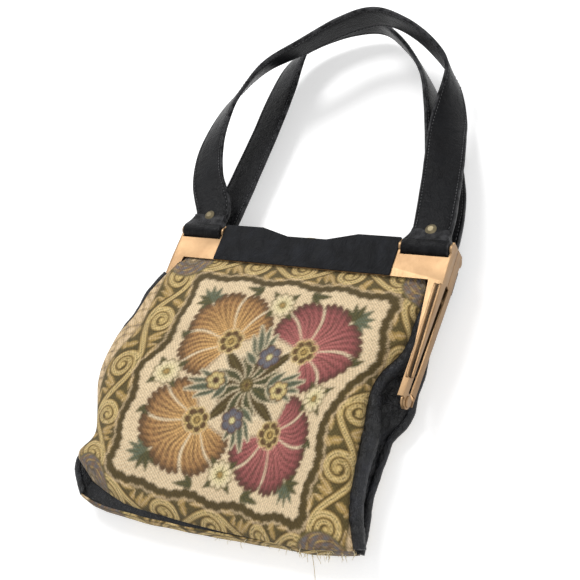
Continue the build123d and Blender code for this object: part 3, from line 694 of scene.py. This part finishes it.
# Swells and pulls of the slack cloth, held flat where it goes into the frame and at its seams
gx, gy = front_grid[..., 0], front_grid[..., 1]
column_share = np.linspace(0.0, 1.0, FRONT_GRID[1])[None, :]
hold_side = np.clip(np.minimum(column_share, 1 - column_share) * 9, 0, 1)
hold_top = np.clip((112.0 - gy) / 30, 0, 1)
hold_foot = np.clip((gy + 108.0) / 12, 0, 1)
swell = 1.1 * ripple(gx, gy, 11, 95.0) + 0.35 * ripple(gx, gy, 12, 34.0)
pull_left = np.exp(-((gx + gy * 0.35 + 62) / 16.0) ** 2) * np.clip((gy - 10) / 60, 0, 1)
pull_right = np.exp(-((gx - gy * 0.22 - 64) / 13.0) ** 2) * np.clip((gy - 10) / 60, 0, 1)
front_grid[..., 2] += (swell - 1.0 * pull_left - 0.9 * pull_right) * hold_side * hold_top * hold_foot
at_edge = np.clip(1 - np.minimum(column_share, 1 - column_share) * 12, 0, 1)
front_grid[..., 0] += 0.9 * ripple(gy, gx * 0.2, 13, 46.0) * at_edge * hold_top * hold_foot
front_grid = askew(front_grid, FRONT_FOOT_LINE)


def cloth_places(grid, middle_x, middle_y):
    """How far along the cloth each point is from the pattern's middle, across and up."""
    steps = np.linalg.norm(np.diff(grid, axis=1), axis=2)
    across = np.concatenate([np.zeros((grid.shape[0], 1)), np.cumsum(steps, axis=1)], axis=1)
    for row in range(grid.shape[0]):
        order = np.argsort(grid[row, :, 0])
        across[row] -= np.interp(middle_x, grid[row, order, 0], across[row][order])
    rises = np.linalg.norm(np.diff(grid[..., 1:], axis=0), axis=2)
    down = np.concatenate([np.zeros((1, grid.shape[1])), np.cumsum(rises, axis=0)])
    middle = grid.shape[1] // 2
    order = np.argsort(grid[:, middle, 1])
    zero = np.interp(middle_y, grid[:, middle, 1][order], down[:, middle][order])
    return across, zero - down


def grid_area(grid):
    """The area of a cloth in square metres."""
    first = np.cross(grid[1:, :-1] - grid[:-1, :-1], grid[:-1, 1:] - grid[:-1, :-1])
    return float(np.linalg.norm(first, axis=2).sum()) * MM * MM


def woven(name, grid, u, v, flip=False):
    """A tapestry panel: the pattern's colours and the cloth's own places kept on its points."""
    piece = grid_piece(name, grid, TAPESTRY, flip)
    mesh = piece.data
    colours = np.ones((len(mesh.vertices), 4))
    colours[:, :3] = tapestry(u, v).reshape(-1, 3)
    layer = mesh.color_attributes.new("tapestry", "FLOAT_COLOR", "POINT")
    layer.data.foreach_set("color", colours.ravel())
    places = np.stack([u, v], axis=2).reshape(-1, 2)
    corners = np.empty(len(mesh.loops), int)
    mesh.loops.foreach_get("vertex_index", corners)
    mesh.uv_layers.new(name="cloth").data.foreach_set("uv", places[corners].ravel())
    return finished(piece, "SOLIDIFY", thickness=CLOTH_THICK * MM, offset=-1.0)


front_u, front_v = drawn_left(*cloth_places(front_grid, PATTERN_X, PATTERN_Y))
front_panel = woven("front_panel_cloth", front_grid, front_u, front_v, flip=True)
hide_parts("front_panel")
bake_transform(front_panel)
front_area = grid_area(front_grid)

# Rear panel, which the bag rests on
rear_rows = []
for y in np.linspace(CLOTH_TOP_Y, FOOT_Y, REAR_GRID[0]):
    low = at(REAR_LOW, y, 2.0)
    seam = max(REAR_SEAM_Z, low + 1.5)
    rear_rows.append(crossing(y, at(REAR_LEFT, y), at(REAR_RIGHT, y), seam, seam, low, 5.0, 5.0, REAR_GRID[1]))
rear_grid = askew(rear_rows)
rear_u, rear_v = cloth_places(rear_grid, 0.0, PATTERN_Y)
rear_panel = woven("rear_panel_cloth", rear_grid, rear_u, rear_v)
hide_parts("rear_panel")
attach(rear_panel, "bag")
grid_area(rear_grid)

# Strip of the base between the two panels
base_left, base_right = at(FRONT_LEFT, FOOT_Y) - 5.0, at(FRONT_RIGHT, FOOT_Y) - 1.0
base_grid = []
for share in np.linspace(0.0, 1.0, BASE_GRID[0]):
    z = front_seam_z(FOOT_Y) + 1.2 + (9.6 - front_seam_z(FOOT_Y) - 1.2) * share
    xs = np.linspace(base_left, base_right, BASE_GRID[1])
    ys = FOOT_Y + 0.6 - 2.4 * np.sin(math.pi * share) + 0.5 * ripple(xs, z, 21, 40.0)
    base_grid.append(np.stack([xs, ys, np.full_like(xs, z)], axis=1))
base_grid = askew(base_grid)
base_u = base_grid[..., 0] - PATTERN_X
base_v = -97.0 - 18.0 * np.linspace(0, 1, BASE_GRID[0])[:, None] + 0 * base_u
base_panel = woven("base_panel_cloth", base_grid, base_u, base_v, flip=True)
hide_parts("base_panel")
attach(base_panel, "bag")

# Dark leather strip between the front panel's foot and the base
upper_edge, lower_edge = front_grid[-2], base_grid[2]
fold_grid = []
for x in np.linspace(base_left - 4.0, base_right, FOLD_GRID[0]):
    upper, lower = [np.array([np.interp(x, line[:, 0], line[:, axis]) for axis in range(3)])
                    for line in (upper_edge, lower_edge)]
    upper[2] -= 1.6
    fold_grid.append([upper + (lower - upper) * share + np.array([0, math.sin(math.pi * share), 0])
                      for share in np.linspace(0, 1, FOLD_GRID[1])])
base_fold = grid_piece("base_fold", np.array(fold_grid), GUSSET_LEATHER)
finished(base_fold, "SOLIDIFY", thickness=FOLD_THICK * MM, offset=0.0)
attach(base_fold, "bag")


# Gussets: crinkled leather sides, in an upper piece above the pivots and a lower one below them, which rides with the
# bag
def gusset_grid(side, y_top, y_foot, rows, columns):
    """Rows of points across one side, from the front seam down to the rear one, folded inwards."""
    front_table = FRONT_LEFT if side < 0 else FRONT_RIGHT
    rear_table = REAR_LEFT if side < 0 else REAR_RIGHT
    grid = []
    for y in np.linspace(y_top, y_foot, rows):
        share = np.linspace(0.0, 1.0, columns)
        front_x, rear_x = at(front_table, y), at(rear_table, y)
        top_z, low_z = min(front_seam_z(y, side), at(CROWN, y) - 0.5) + 0.3, REAR_SEAM_Z
        low_z = max(low_z, at(REAR_LOW, y, 2.0) + 1.0)
        belly = np.sin(math.pi * share)
        x = front_x + (rear_x - front_x) * share + side * 1.2 * belly
        z = top_z + (low_z - top_z) * share
        ys = np.full_like(share, y)
        crease = 1.5 * ripple(ys, z * 2.0, 31 + side, 17.0) + 0.7 * ripple(ys, z * 3.0, 41 + side, 7.0)
        grid.append(np.stack([x + side * crease * belly, ys, z + 0.5 * crease * belly], axis=1))
    return askew(grid)


def gusset(name, side, y_top, y_foot, rows):
    """One side's leather between two places along Y."""
    piece = grid_piece(name, gusset_grid(side, y_top, y_foot, rows, 28), GUSSET_LEATHER, side > 0)
    finished(piece, "SOLIDIFY", thickness=SIDE_THICK * MM, offset=-1.0)
    return piece


for side, word in ((-1, "left"), (1, "right")):
    upper = gusset(f"{word}_gusset_upper", side, 113.0, PIVOT_Y, 90)
    lower = gusset(f"{word}_gusset_lower", side, PIVOT_Y, FOOT_Y + 1, 130)
    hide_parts(f"{word}_gusset")
    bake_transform(upper)
    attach(lower, "bag")


# Rolled leather pipings along the four seams; the right one at the front swells and is pinched below the leg
FRONT_ROLL = [(110, 3.0), (60, 4.2), (42, 5.0), (28, 4.4), (15, 5.6), (-5, 6.6), (-20, 6.4), (-32, 5.6), (-104, 4.6)]


def piping(name, table, side, height, body):
    """A roll of leather along one seam, at a height given for each place along Y."""
    top = 96.0 if side < 0 and body == "front" else 110.0
    ys = np.linspace(top, FOOT_Y + 3.0, 220)
    line = np.array([(at(table, y) + side * 1.6, y, height(y)) for y in ys])
    line[:, 0] += 0.5 * ripple(ys, ys * 0, 51 + side, 30.0)
    full = np.array([at(FRONT_ROLL, y, 3.0) if side > 0 and body == "front" else 3.0 for y in ys])
    line[:, 0] += side * (full - 3.0)
    radius = full * (1.0 + 0.05 * ripple(ys, ys * 0, 61 + side, 9.0) + 0.03 * ripple(ys, ys * 0, 71 + side, 3.5))
    points, faces = tube(askew(line), radius, 14)
    piece = mesh_piece(name, points, faces, PIPING_LEATHER)
    outward(piece)
    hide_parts(name.replace("_roll", ""))
    if body == "front":
        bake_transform(piece)
    else:
        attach(piece, "bag")


piping("front_left_piping_roll", FRONT_LEFT, -1, lambda y: min(front_seam_z(y, -1), at(CROWN, y) - 2.0), "front")
piping("front_right_piping_roll", FRONT_RIGHT, 1, lambda y: front_seam_z(y) + 0.5, "front")
for name, table, side in (("rear_left_piping_roll", REAR_LEFT, -1), ("rear_right_piping_roll", REAR_RIGHT, 1)):
    piping(name, table, side, lambda y: max(REAR_SEAM_Z, at(REAR_LOW, y) + 1.5), "rear")

# Lining: a plain cloth layer just inside each panel
for name, grid, lift, body in (("front_lining", front_grid[3:-4:4, 4:-4:4].copy(), -LINING_DEPTH, "front"),
                               ("rear_lining", rear_grid[3:-4:3, 4:-4:3].copy(), LINING_DEPTH, "rear")):
    grid[..., 2] += lift
    grid[..., 0] *= LINING_SHARE
    piece = grid_piece(name, grid, LINING)
    finished(piece, "SOLIDIFY", thickness=LINING_THICK * MM, offset=0.0)
    if body == "front":
        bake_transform(piece)
    else:
        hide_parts("lining")
        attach(piece, "bag")

# Handles: places along each one, as across, above the rail's foot and behind the front plate, and its twist
# there in degrees
FRONT_ROUTE = [
    (-121.0, 79.0, -2.0, 8.0), (-130.0, 112.0, -5.0, 18.0), (-127.0, 146.0, -10.0, 32.0), (-118.0, 170.0, -13.0, 42.0),
    (-100.0, 198.0, -16.0, 52.0), (-68.0, 221.0, -16.0, 62.0), (-35.0, 245.0, -15.0, 68.0), (0.0, 251.0, -17.5, 73.0),
    (32.0, 240.0, -12.0, 80.0), (58.0, 223.0, 0.0, 88.0), (73.0, 204.0, 10.0, 86.0), (79.0, 174.0, 16.0, 55.0),
    (84.0, 145.0, 14.0, 28.0), (92.0, 111.0, 9.0, 12.0), (99.0, 76.0, 4.0, 5.0),
]
REAR_ROUTE = [
    (-102.0, 82.0, 21.5, 5.0), (-101.0, 110.0, 21.5, 8.0), (-99.0, 150.0, 20.5, 10.0), (-98.0, 195.0, 19.0, 14.0),
    (-95.0, 232.0, 17.0, 30.0), (-80.0, 256.0, 16.0, 55.0), (-50.0, 272.0, 15.0, 70.0), (-20.0, 274.0, 16.0, 76.0),
    (6.0, 257.0, 20.0, 80.0), (28.0, 234.0, 21.5, 84.0), (48.0, 206.0, 22.0, 82.0), (64.0, 173.0, 23.0, 68.0),
    (78.0, 140.0, 25.0, 45.0), (89.0, 108.0, 24.5, 25.0), (98.0, 80.0, 22.5, 9.0),
]


def strap_line(route, bar_z):
    """Places, width directions and face directions along a handle, evenly spaced."""
    tab_end = BAR_Y + TAB_LENGTH
    places = [(-LOOP_X, BAR_Y + 5.0, bar_z), (-LOOP_X, tab_end, bar_z)]
    places += [(x, RAIL_FOOT + rise, FRONT_PLATE - depth) for x, rise, depth, twist in route]
    places += [(LOOP_X, tab_end, bar_z), (LOOP_X, BAR_Y + 5.0, bar_z)]
    twists = [0.0, 0.0] + [row[3] for row in route] + [0.0, 0.0]
    line = even(curved(np.column_stack([places, twists]), 16), 330)
    centre, twist = line[:, :3], np.radians(line[:, 3])
    along = np.gradient(centre, axis=0)
    along /= np.linalg.norm(along, axis=1)[:, None]
    down = np.array([0.0, 0.0, -1.0]) - along * (along @ np.array([0.0, 0.0, -1.0]))[:, None]
    down /= np.linalg.norm(down, axis=1)[:, None]
    across = np.cross(along, down)
    width_way = across * np.cos(twist)[:, None] + down * np.sin(twist)[:, None]
    face_way = np.cross(along, width_way)
    return centre, along, width_way, face_way


def strap_outline(half, thick):
    """Section of a strap: rounded edges, a pressed line where the stitches lie, and a slightly full middle."""
    groove = half - STITCH_INSET
    face = [(0.0, 0.56), (0.45 * half, 0.54), (groove - 1.2, 0.5), (groove, 0.35), (groove + 1.1, 0.5),
            (half - 0.8, 0.44), (half - 0.15, 0.22)]
    top = [(x, thick * f) for x, f in face]
    left_top = [(-x, z) for x, z in reversed(top[1:])]
    upper = left_top + top
    lower = [(x, -z) for x, z in reversed(upper)]
    return upper + lower


# The loops rolled round the bars: places across each as shares of its half width, and angles round the bar
ROLL_PLACES = (-1.0, -0.985, -0.95, -0.5, 0.0, 0.5, 0.95, 0.985, 1.0)
ROLL_SIDES = 28
ROLL_ANGLES = [2 * math.pi * turn / ROLL_SIDES for turn in range(ROLL_SIDES)]
BORE_RADIUS = 2.7


def strap(name, route, bar_z, body, seed):
    """A leather strap that loops round its bar at each end, with two rows of stitches on each face."""
    centre, along, width_way, face_way = strap_line(route, bar_z)
    count = len(centre)
    share = np.linspace(0.0, 1.0, count)
    end_share = np.clip((0.075 - np.minimum(share, 1 - share)) / 0.03, 0, 1)
    thick = STRAP_THICK + 1.2 * end_share
    points, wear = [], []
    rule = np.random.default_rng(seed)
    sway = 0.35 * np.sin(share * 60 + rule.uniform(0, 6)) + 0.25 * np.sin(share * 131 + rule.uniform(0, 6))
    for k in range(count):
        half = STRAP_WIDTH / 2 + 0.25 * sway[k]
        outline = strap_outline(half, thick[k])
        for x, z in outline:
            points.append(centre[k] + width_way[k] * x + face_way[k] * z)
            wear.append(1.0 if abs(x) > half - 1.0 else 0.0)
    sides = len(outline)
    faces = grid_faces(count, sides, 0, True) + end_faces(0, len(points), sides)
    # Loops round the bars, rolled from the strap's end and a little wider than it
    for end in (-1, 1):
        start = len(points)
        for k, x_share in enumerate(ROLL_PLACES):
            x = end * LOOP_X + (LOOP_WIDTH / 2 - 0.15) * x_share
            radius = ROLL_RADIUS - (0.9 if abs(x_share) == 1.0 else 0.3 if abs(x_share) > 0.98 else 0.0)
            for angle in ROLL_ANGLES:
                reach = radius * (1.0 + 0.012 * math.sin(3 * angle + k))
                points.append(np.array([x, BAR_Y + reach * math.cos(angle), bar_z + reach * math.sin(angle)]))
                wear.append(1.0 if abs(x_share) > 0.98 else 0.15)
        outer_end, inner_start = len(points) - ROLL_SIDES, len(points)
        for x_share in (-1.0, 1.0):
            x = end * LOOP_X + (LOOP_WIDTH / 2 - 0.15) * x_share
            points += [np.array([x, BAR_Y + BORE_RADIUS * math.cos(angle), bar_z + BORE_RADIUS * math.sin(angle)])
                       for angle in ROLL_ANGLES]
            wear += [0.6] * ROLL_SIDES
        inner_end = inner_start + ROLL_SIDES
        faces += grid_faces(len(ROLL_PLACES), ROLL_SIDES, start, True)
        for turn in range(ROLL_SIDES):
            after = (turn + 1) % ROLL_SIDES
            faces.append((start + turn, inner_start + turn, inner_start + after, start + after))
            faces.append((outer_end + after, inner_end + after, inner_end + turn, outer_end + turn))
            faces.append((inner_start + turn, inner_end + turn, inner_end + after, inner_start + after))
        # The flare from the roll to the tab's width
        start = len(points)
        for y_step in np.linspace(0.0, 1.0, 8):
            fall = math.sin(y_step * math.pi / 2)
            half = LOOP_WIDTH / 2 - 0.3 - (LOOP_WIDTH - STRAP_WIDTH) / 2 * fall
            y = BAR_Y + 4.5 + 11.0 * y_step
            level = 5.3 - 2.6 * fall
            side_z, face_x = level * 0.6, half - 0.8
            for x, z in ((-half, -side_z), (-half, side_z), (-face_x, level), (face_x, level), (half, side_z),
                         (half, -side_z), (face_x, -level), (-face_x, -level)):
                points.append(np.array([end * LOOP_X + x, y, bar_z + z]))
                wear.append(0.8 if abs(x) > half - 1.0 else 0.1)
        faces += grid_faces(8, 8, start, True) + end_faces(start, len(points), 8)
    piece = mesh_piece(name, points, faces, STRAP_LEATHER)
    piece.data.attributes.new("wear", "FLOAT", "POINT").data.foreach_set("value", wear)
    outward(piece)
    chosen(piece)
    bpy.ops.object.shade_smooth_by_angle(angle=math.radians(50))
    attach(piece, body)
    # Stitches, sunk a little in their pressed line
    steps = np.linalg.norm(np.diff(centre, axis=0), axis=1)
    length = np.concatenate([[0.0], np.cumsum(steps)])
    stitch_points, stitch_faces = [], []
    for start_length in np.arange(7.0, length[-1] - 7.0, STITCH_STEP):
        place = np.array([np.interp(start_length, length, centre[:, a]) for a in range(3)])
        k = int(np.searchsorted(length, start_length))
        for row in (-1, 1):
            for face in (-1, 1):
                middle = place + width_way[k] * row * (STRAP_WIDTH / 2 - STITCH_INSET)
                middle = middle + face_way[k] * face * (0.41 * thick[k] + 0.18)
                base = len(stitch_points)
                for reach, size in ((-1.15, 0.1), (-0.6, 0.36), (0.6, 0.36), (1.15, 0.1)):
                    for a, b in ((1, 0), (0, 1), (-1, 0), (0, -1)):
                        beside = width_way[k] * a * size + face_way[k] * b * size
                        stitch_points.append(middle + along[k] * reach + beside)
                stitch_faces += grid_faces(4, 4, base, True) + end_faces(base, base + 16, 4)
    stitches = mesh_piece(f"{name}_stitches", stitch_points, stitch_faces, STITCH_THREAD)
    outward(stitches)
    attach(stitches, body)
    return piece


front_strap = strap("front_handle_strap", FRONT_ROUTE, FRONT_BAR_Z, "front_strap", 3)
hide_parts("front_handle")
rear_strap = strap("rear_handle_strap", REAR_ROUTE, REAR_BAR_Z, "rear_strap", 4)
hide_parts("rear_handle")


# Leather covers and metal
def softened(node, name, width, material, shaped=None):
    """A copy of a CAD node with its corners merged, shaped further where asked, and its edges rounded."""
    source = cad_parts[node]
    piece = bpy.data.objects.new(name, source.data.copy())
    bpy.context.scene.collection.objects.link(piece)
    chosen(piece)
    bpy.ops.object.mode_set(mode="EDIT")
    bpy.ops.mesh.select_all(action="SELECT")
    bpy.ops.mesh.remove_doubles(threshold=0.00002)
    bpy.ops.mesh.dissolve_limited(angle_limit=math.radians(2))
    bpy.ops.object.mode_set(mode="OBJECT")
    if shaped is not None:
        shaped(piece)
    piece.data.materials.clear()
    piece.data.materials.append(material)
    finished(piece, "BEVEL", width=width * MM, segments=3, limit_method="ANGLE", angle_limit=math.radians(35))
    chosen(piece)
    bpy.ops.object.shade_smooth_by_angle(angle=math.radians(40))
    return piece


for node, body in (("front_cover", "opening_frame"), ("rear_cover", "bag")):
    cover = softened(node, f"{node}_leather", 0.45, COVER_LEATHER)
    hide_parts(node)
    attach(cover, body)

# The frame's legs: where their flanges reach their narrow width, and how far the inner edges are drawn in
LEG_KNEE_Y = 62.0
LEG_INNER_X = 109.0
LEG_LEAN = 4.0
KNEE_DRAWN, PIVOT_DRAWN = 7.2, 7.6


def tapered(piece):
    """Draws the inner edges of the legs' flanges in, most of the way by the knee and the rest by the pivots."""
    chosen(piece)
    bpy.ops.object.mode_set(mode="EDIT")
    bpy.ops.mesh.select_all(action="SELECT")
    bpy.ops.mesh.bisect(plane_co=(0.0, LEG_KNEE_Y * MM, 0.0), plane_no=(0.0, 1.0, 0.0))
    bpy.ops.object.mode_set(mode="OBJECT")
    for vertex in piece.data.vertices:
        place = vertex.co
        inner = (LEG_INNER_X + LEG_LEAN * (place.y / MM - PIVOT_Y) / (RAIL_FOOT - PIVOT_Y)) * MM
        if place.y < (LEG_KNEE_Y + 1.0) * MM and abs(abs(place.x) - inner) < 0.9 * MM:
            shift = KNEE_DRAWN if place.y > 40.0 * MM else PIVOT_DRAWN
            place.x += math.copysign(shift * MM, place.x)


def tapered_frame(node, name, body):
    """The pressed frame with rounded edges and narrow legs."""
    piece = softened(node, name, 0.2, GILT, tapered)
    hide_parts(node)
    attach(piece, body)


def leg_beading(plate):
    """Two rolled edges along the face of the frame's right leg, and between them a tube of very dark brass whose colour
    is painted shade for the groove.
    """
    faces_up = []
    for y in np.linspace(26.0, 112.0, 44):
        hit, spot, _, _ = plate.ray_cast(Vector((121.6 * MM, y * MM, 0.2)), Vector((0.0, 0.0, -1.0)))
        if hit:
            faces_up.append((y, spot.z / MM))
    ys, zs = np.array(faces_up).T
    # The groove tube's dark brass is painted shade, not the metal's own colour
    for name, x, radius, lift, material in (("leg_bead_inner", 119.6, 1.2, 0.1, GILT),
                                            ("leg_bead_outer", 123.8, 1.1, 0.1, GILT),
                                            ("leg_groove", 121.7, 0.95, -0.55, GROOVE_SHADE_BRASS)):
        line = np.stack([np.full_like(ys, x), ys, zs + lift], axis=1)
        points, faces = tube(line, radius, 12)
        bead = outward(mesh_piece(name, points, faces, material))
        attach(bead, "opening_frame")


tapered_frame("front_frame", "front_frame_plate", "opening_frame")
leg_beading(bpy.data.objects["front_frame_plate"])
tapered_frame("rear_frame", "rear_frame_plate", "bag")

# The metal nodes that stay as the CAD model has them
for name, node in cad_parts.items():
    old = name.endswith("_rivet") or name.startswith("clasp")
    if old or name.endswith(("_frame", "_bar", "_pivot")):
        node.data.materials.clear()
        node.data.materials.append(OLD_BRASS if old else GILT)

# Frayed threads, most of them at the bottom right of the front panel, and one long loose one that lies on the floor
fray_points, fray_faces = [], []
for k in range(54):
    x = random.uniform(60.0, 112.0) if k < 44 else random.uniform(-30.0, 60.0)
    length = random.uniform(2.0, 7.0) if k else 22.0
    foot_y = np.interp(x, *zip(*FOOT_LINE))
    start = Vector((x, foot_y + 1.0, random.uniform(12.0, 22.0)))
    lean = Vector((random.uniform(-0.5, 0.6), -1.0, random.uniform(-0.6, 0.2))).normalized()
    line = []
    for share in np.linspace(0, 1, 6):
        drift = Vector((0.8 * math.sin(share * 4 + k), 0, -0.25 * length * share * share))
        place = start + lean * length * share + drift
        line.append((place.x, place.y, max(place.z, FLOOR_CLEAR)))
    points, faces = tube(line, np.linspace(0.28, 0.16, 6), 5)
    base = len(fray_points)
    fray_points += points
    fray_faces += [tuple(base + i for i in face) for face in faces]
fray = mesh_piece("frayed_threads", fray_points, fray_faces, LOOSE_THREAD)
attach(fray, "bag")

# Camera, light and floor
camera_data = bpy.data.cameras.new("camera")
camera = bpy.data.objects.new("camera", camera_data)
bpy.context.scene.collection.objects.link(camera)
camera.location = (374.286 * MM, -192.213 * MM, 605.379 * MM)
camera.rotation_euler = (math.radians(33.0085), math.radians(23.6393), math.radians(20.7795))
camera_data.lens = 57.644
camera_data.sensor_width = 36.0
bpy.context.scene.camera = camera


def floor_finish():
    """White paper that keeps the shadow and shows pure white to the camera and in reflections."""
    finish = Finish("floor_paper")
    finish.tree.nodes.remove(finish.shader)
    paths = finish.node("ShaderNodeLightPath").outputs
    seen = finish.sum(paths["Is Camera Ray"], paths["Is Glossy Ray"], "MAXIMUM")
    seen = finish.sum(seen, paths["Is Transmission Ray"], "MAXIMUM")
    glow = finish.sum(seen, 0.42, "MULTIPLY")
    diffuse = finish.node("ShaderNodeBsdfDiffuse", {"Color": paint(240, 240, 240)}).outputs[0]
    light = finish.node("ShaderNodeEmission", {"Color": WHITE, "Strength": glow}).outputs[0]
    both = finish.node("ShaderNodeAddShader")
    finish.tree.links.new(diffuse, both.inputs[0])
    finish.tree.links.new(light, both.inputs[1])
    output = next(n for n in finish.tree.nodes if n.type == "OUTPUT_MATERIAL")
    finish.tree.links.new(both.outputs[0], output.inputs["Surface"])
    return finish.material


bpy.ops.mesh.primitive_plane_add(size=6.0, location=(0.0, 0.0, -0.0004))
floor = bpy.context.object
floor.name = "floor"
floor.data.materials.append(floor_finish())

world = bpy.data.worlds.new("studio")
bpy.context.scene.world = world
world.use_nodes = True
tree = world.node_tree
background = tree.nodes["Background"]
paths = tree.nodes.new("ShaderNodeLightPath").outputs
seen = tree.nodes.new("ShaderNodeMath")
seen.operation = "MAXIMUM"
tree.links.new(paths["Is Camera Ray"], seen.inputs[0])
tree.links.new(paths["Is Glossy Ray"], seen.inputs[1])
level = tree.nodes.new("ShaderNodeMapRange")
tree.links.new(seen.outputs[0], level.inputs["Value"])
level.inputs["To Min"].default_value = 0.5
level.inputs["To Max"].default_value = 1.0
tree.links.new(level.outputs[0], background.inputs["Strength"])
background.inputs["Color"].default_value = WHITE


def lamp(name, place, target, size, power):
    """A large soft lamp that points at a place."""
    data = bpy.data.lights.new(name, "AREA")
    data.shape = "DISK"
    data.size = size
    data.energy = power
    made = bpy.data.objects.new(name, data)
    bpy.context.scene.collection.objects.link(made)
    made.location = place
    made.rotation_euler = (Vector(target) - Vector(place)).to_track_quat("-Z", "Y").to_euler()


lamp("key_lamp", (-0.55, 0.75, 1.25), (0.0, 0.05, 0.0), 0.7, 13.0)
lamp("fill_lamp", (0.9, -0.6, 1.1), (0.0, 0.05, 0.0), 0.9, 6.0)

bpy.context.scene.view_settings.view_transform = "Standard"
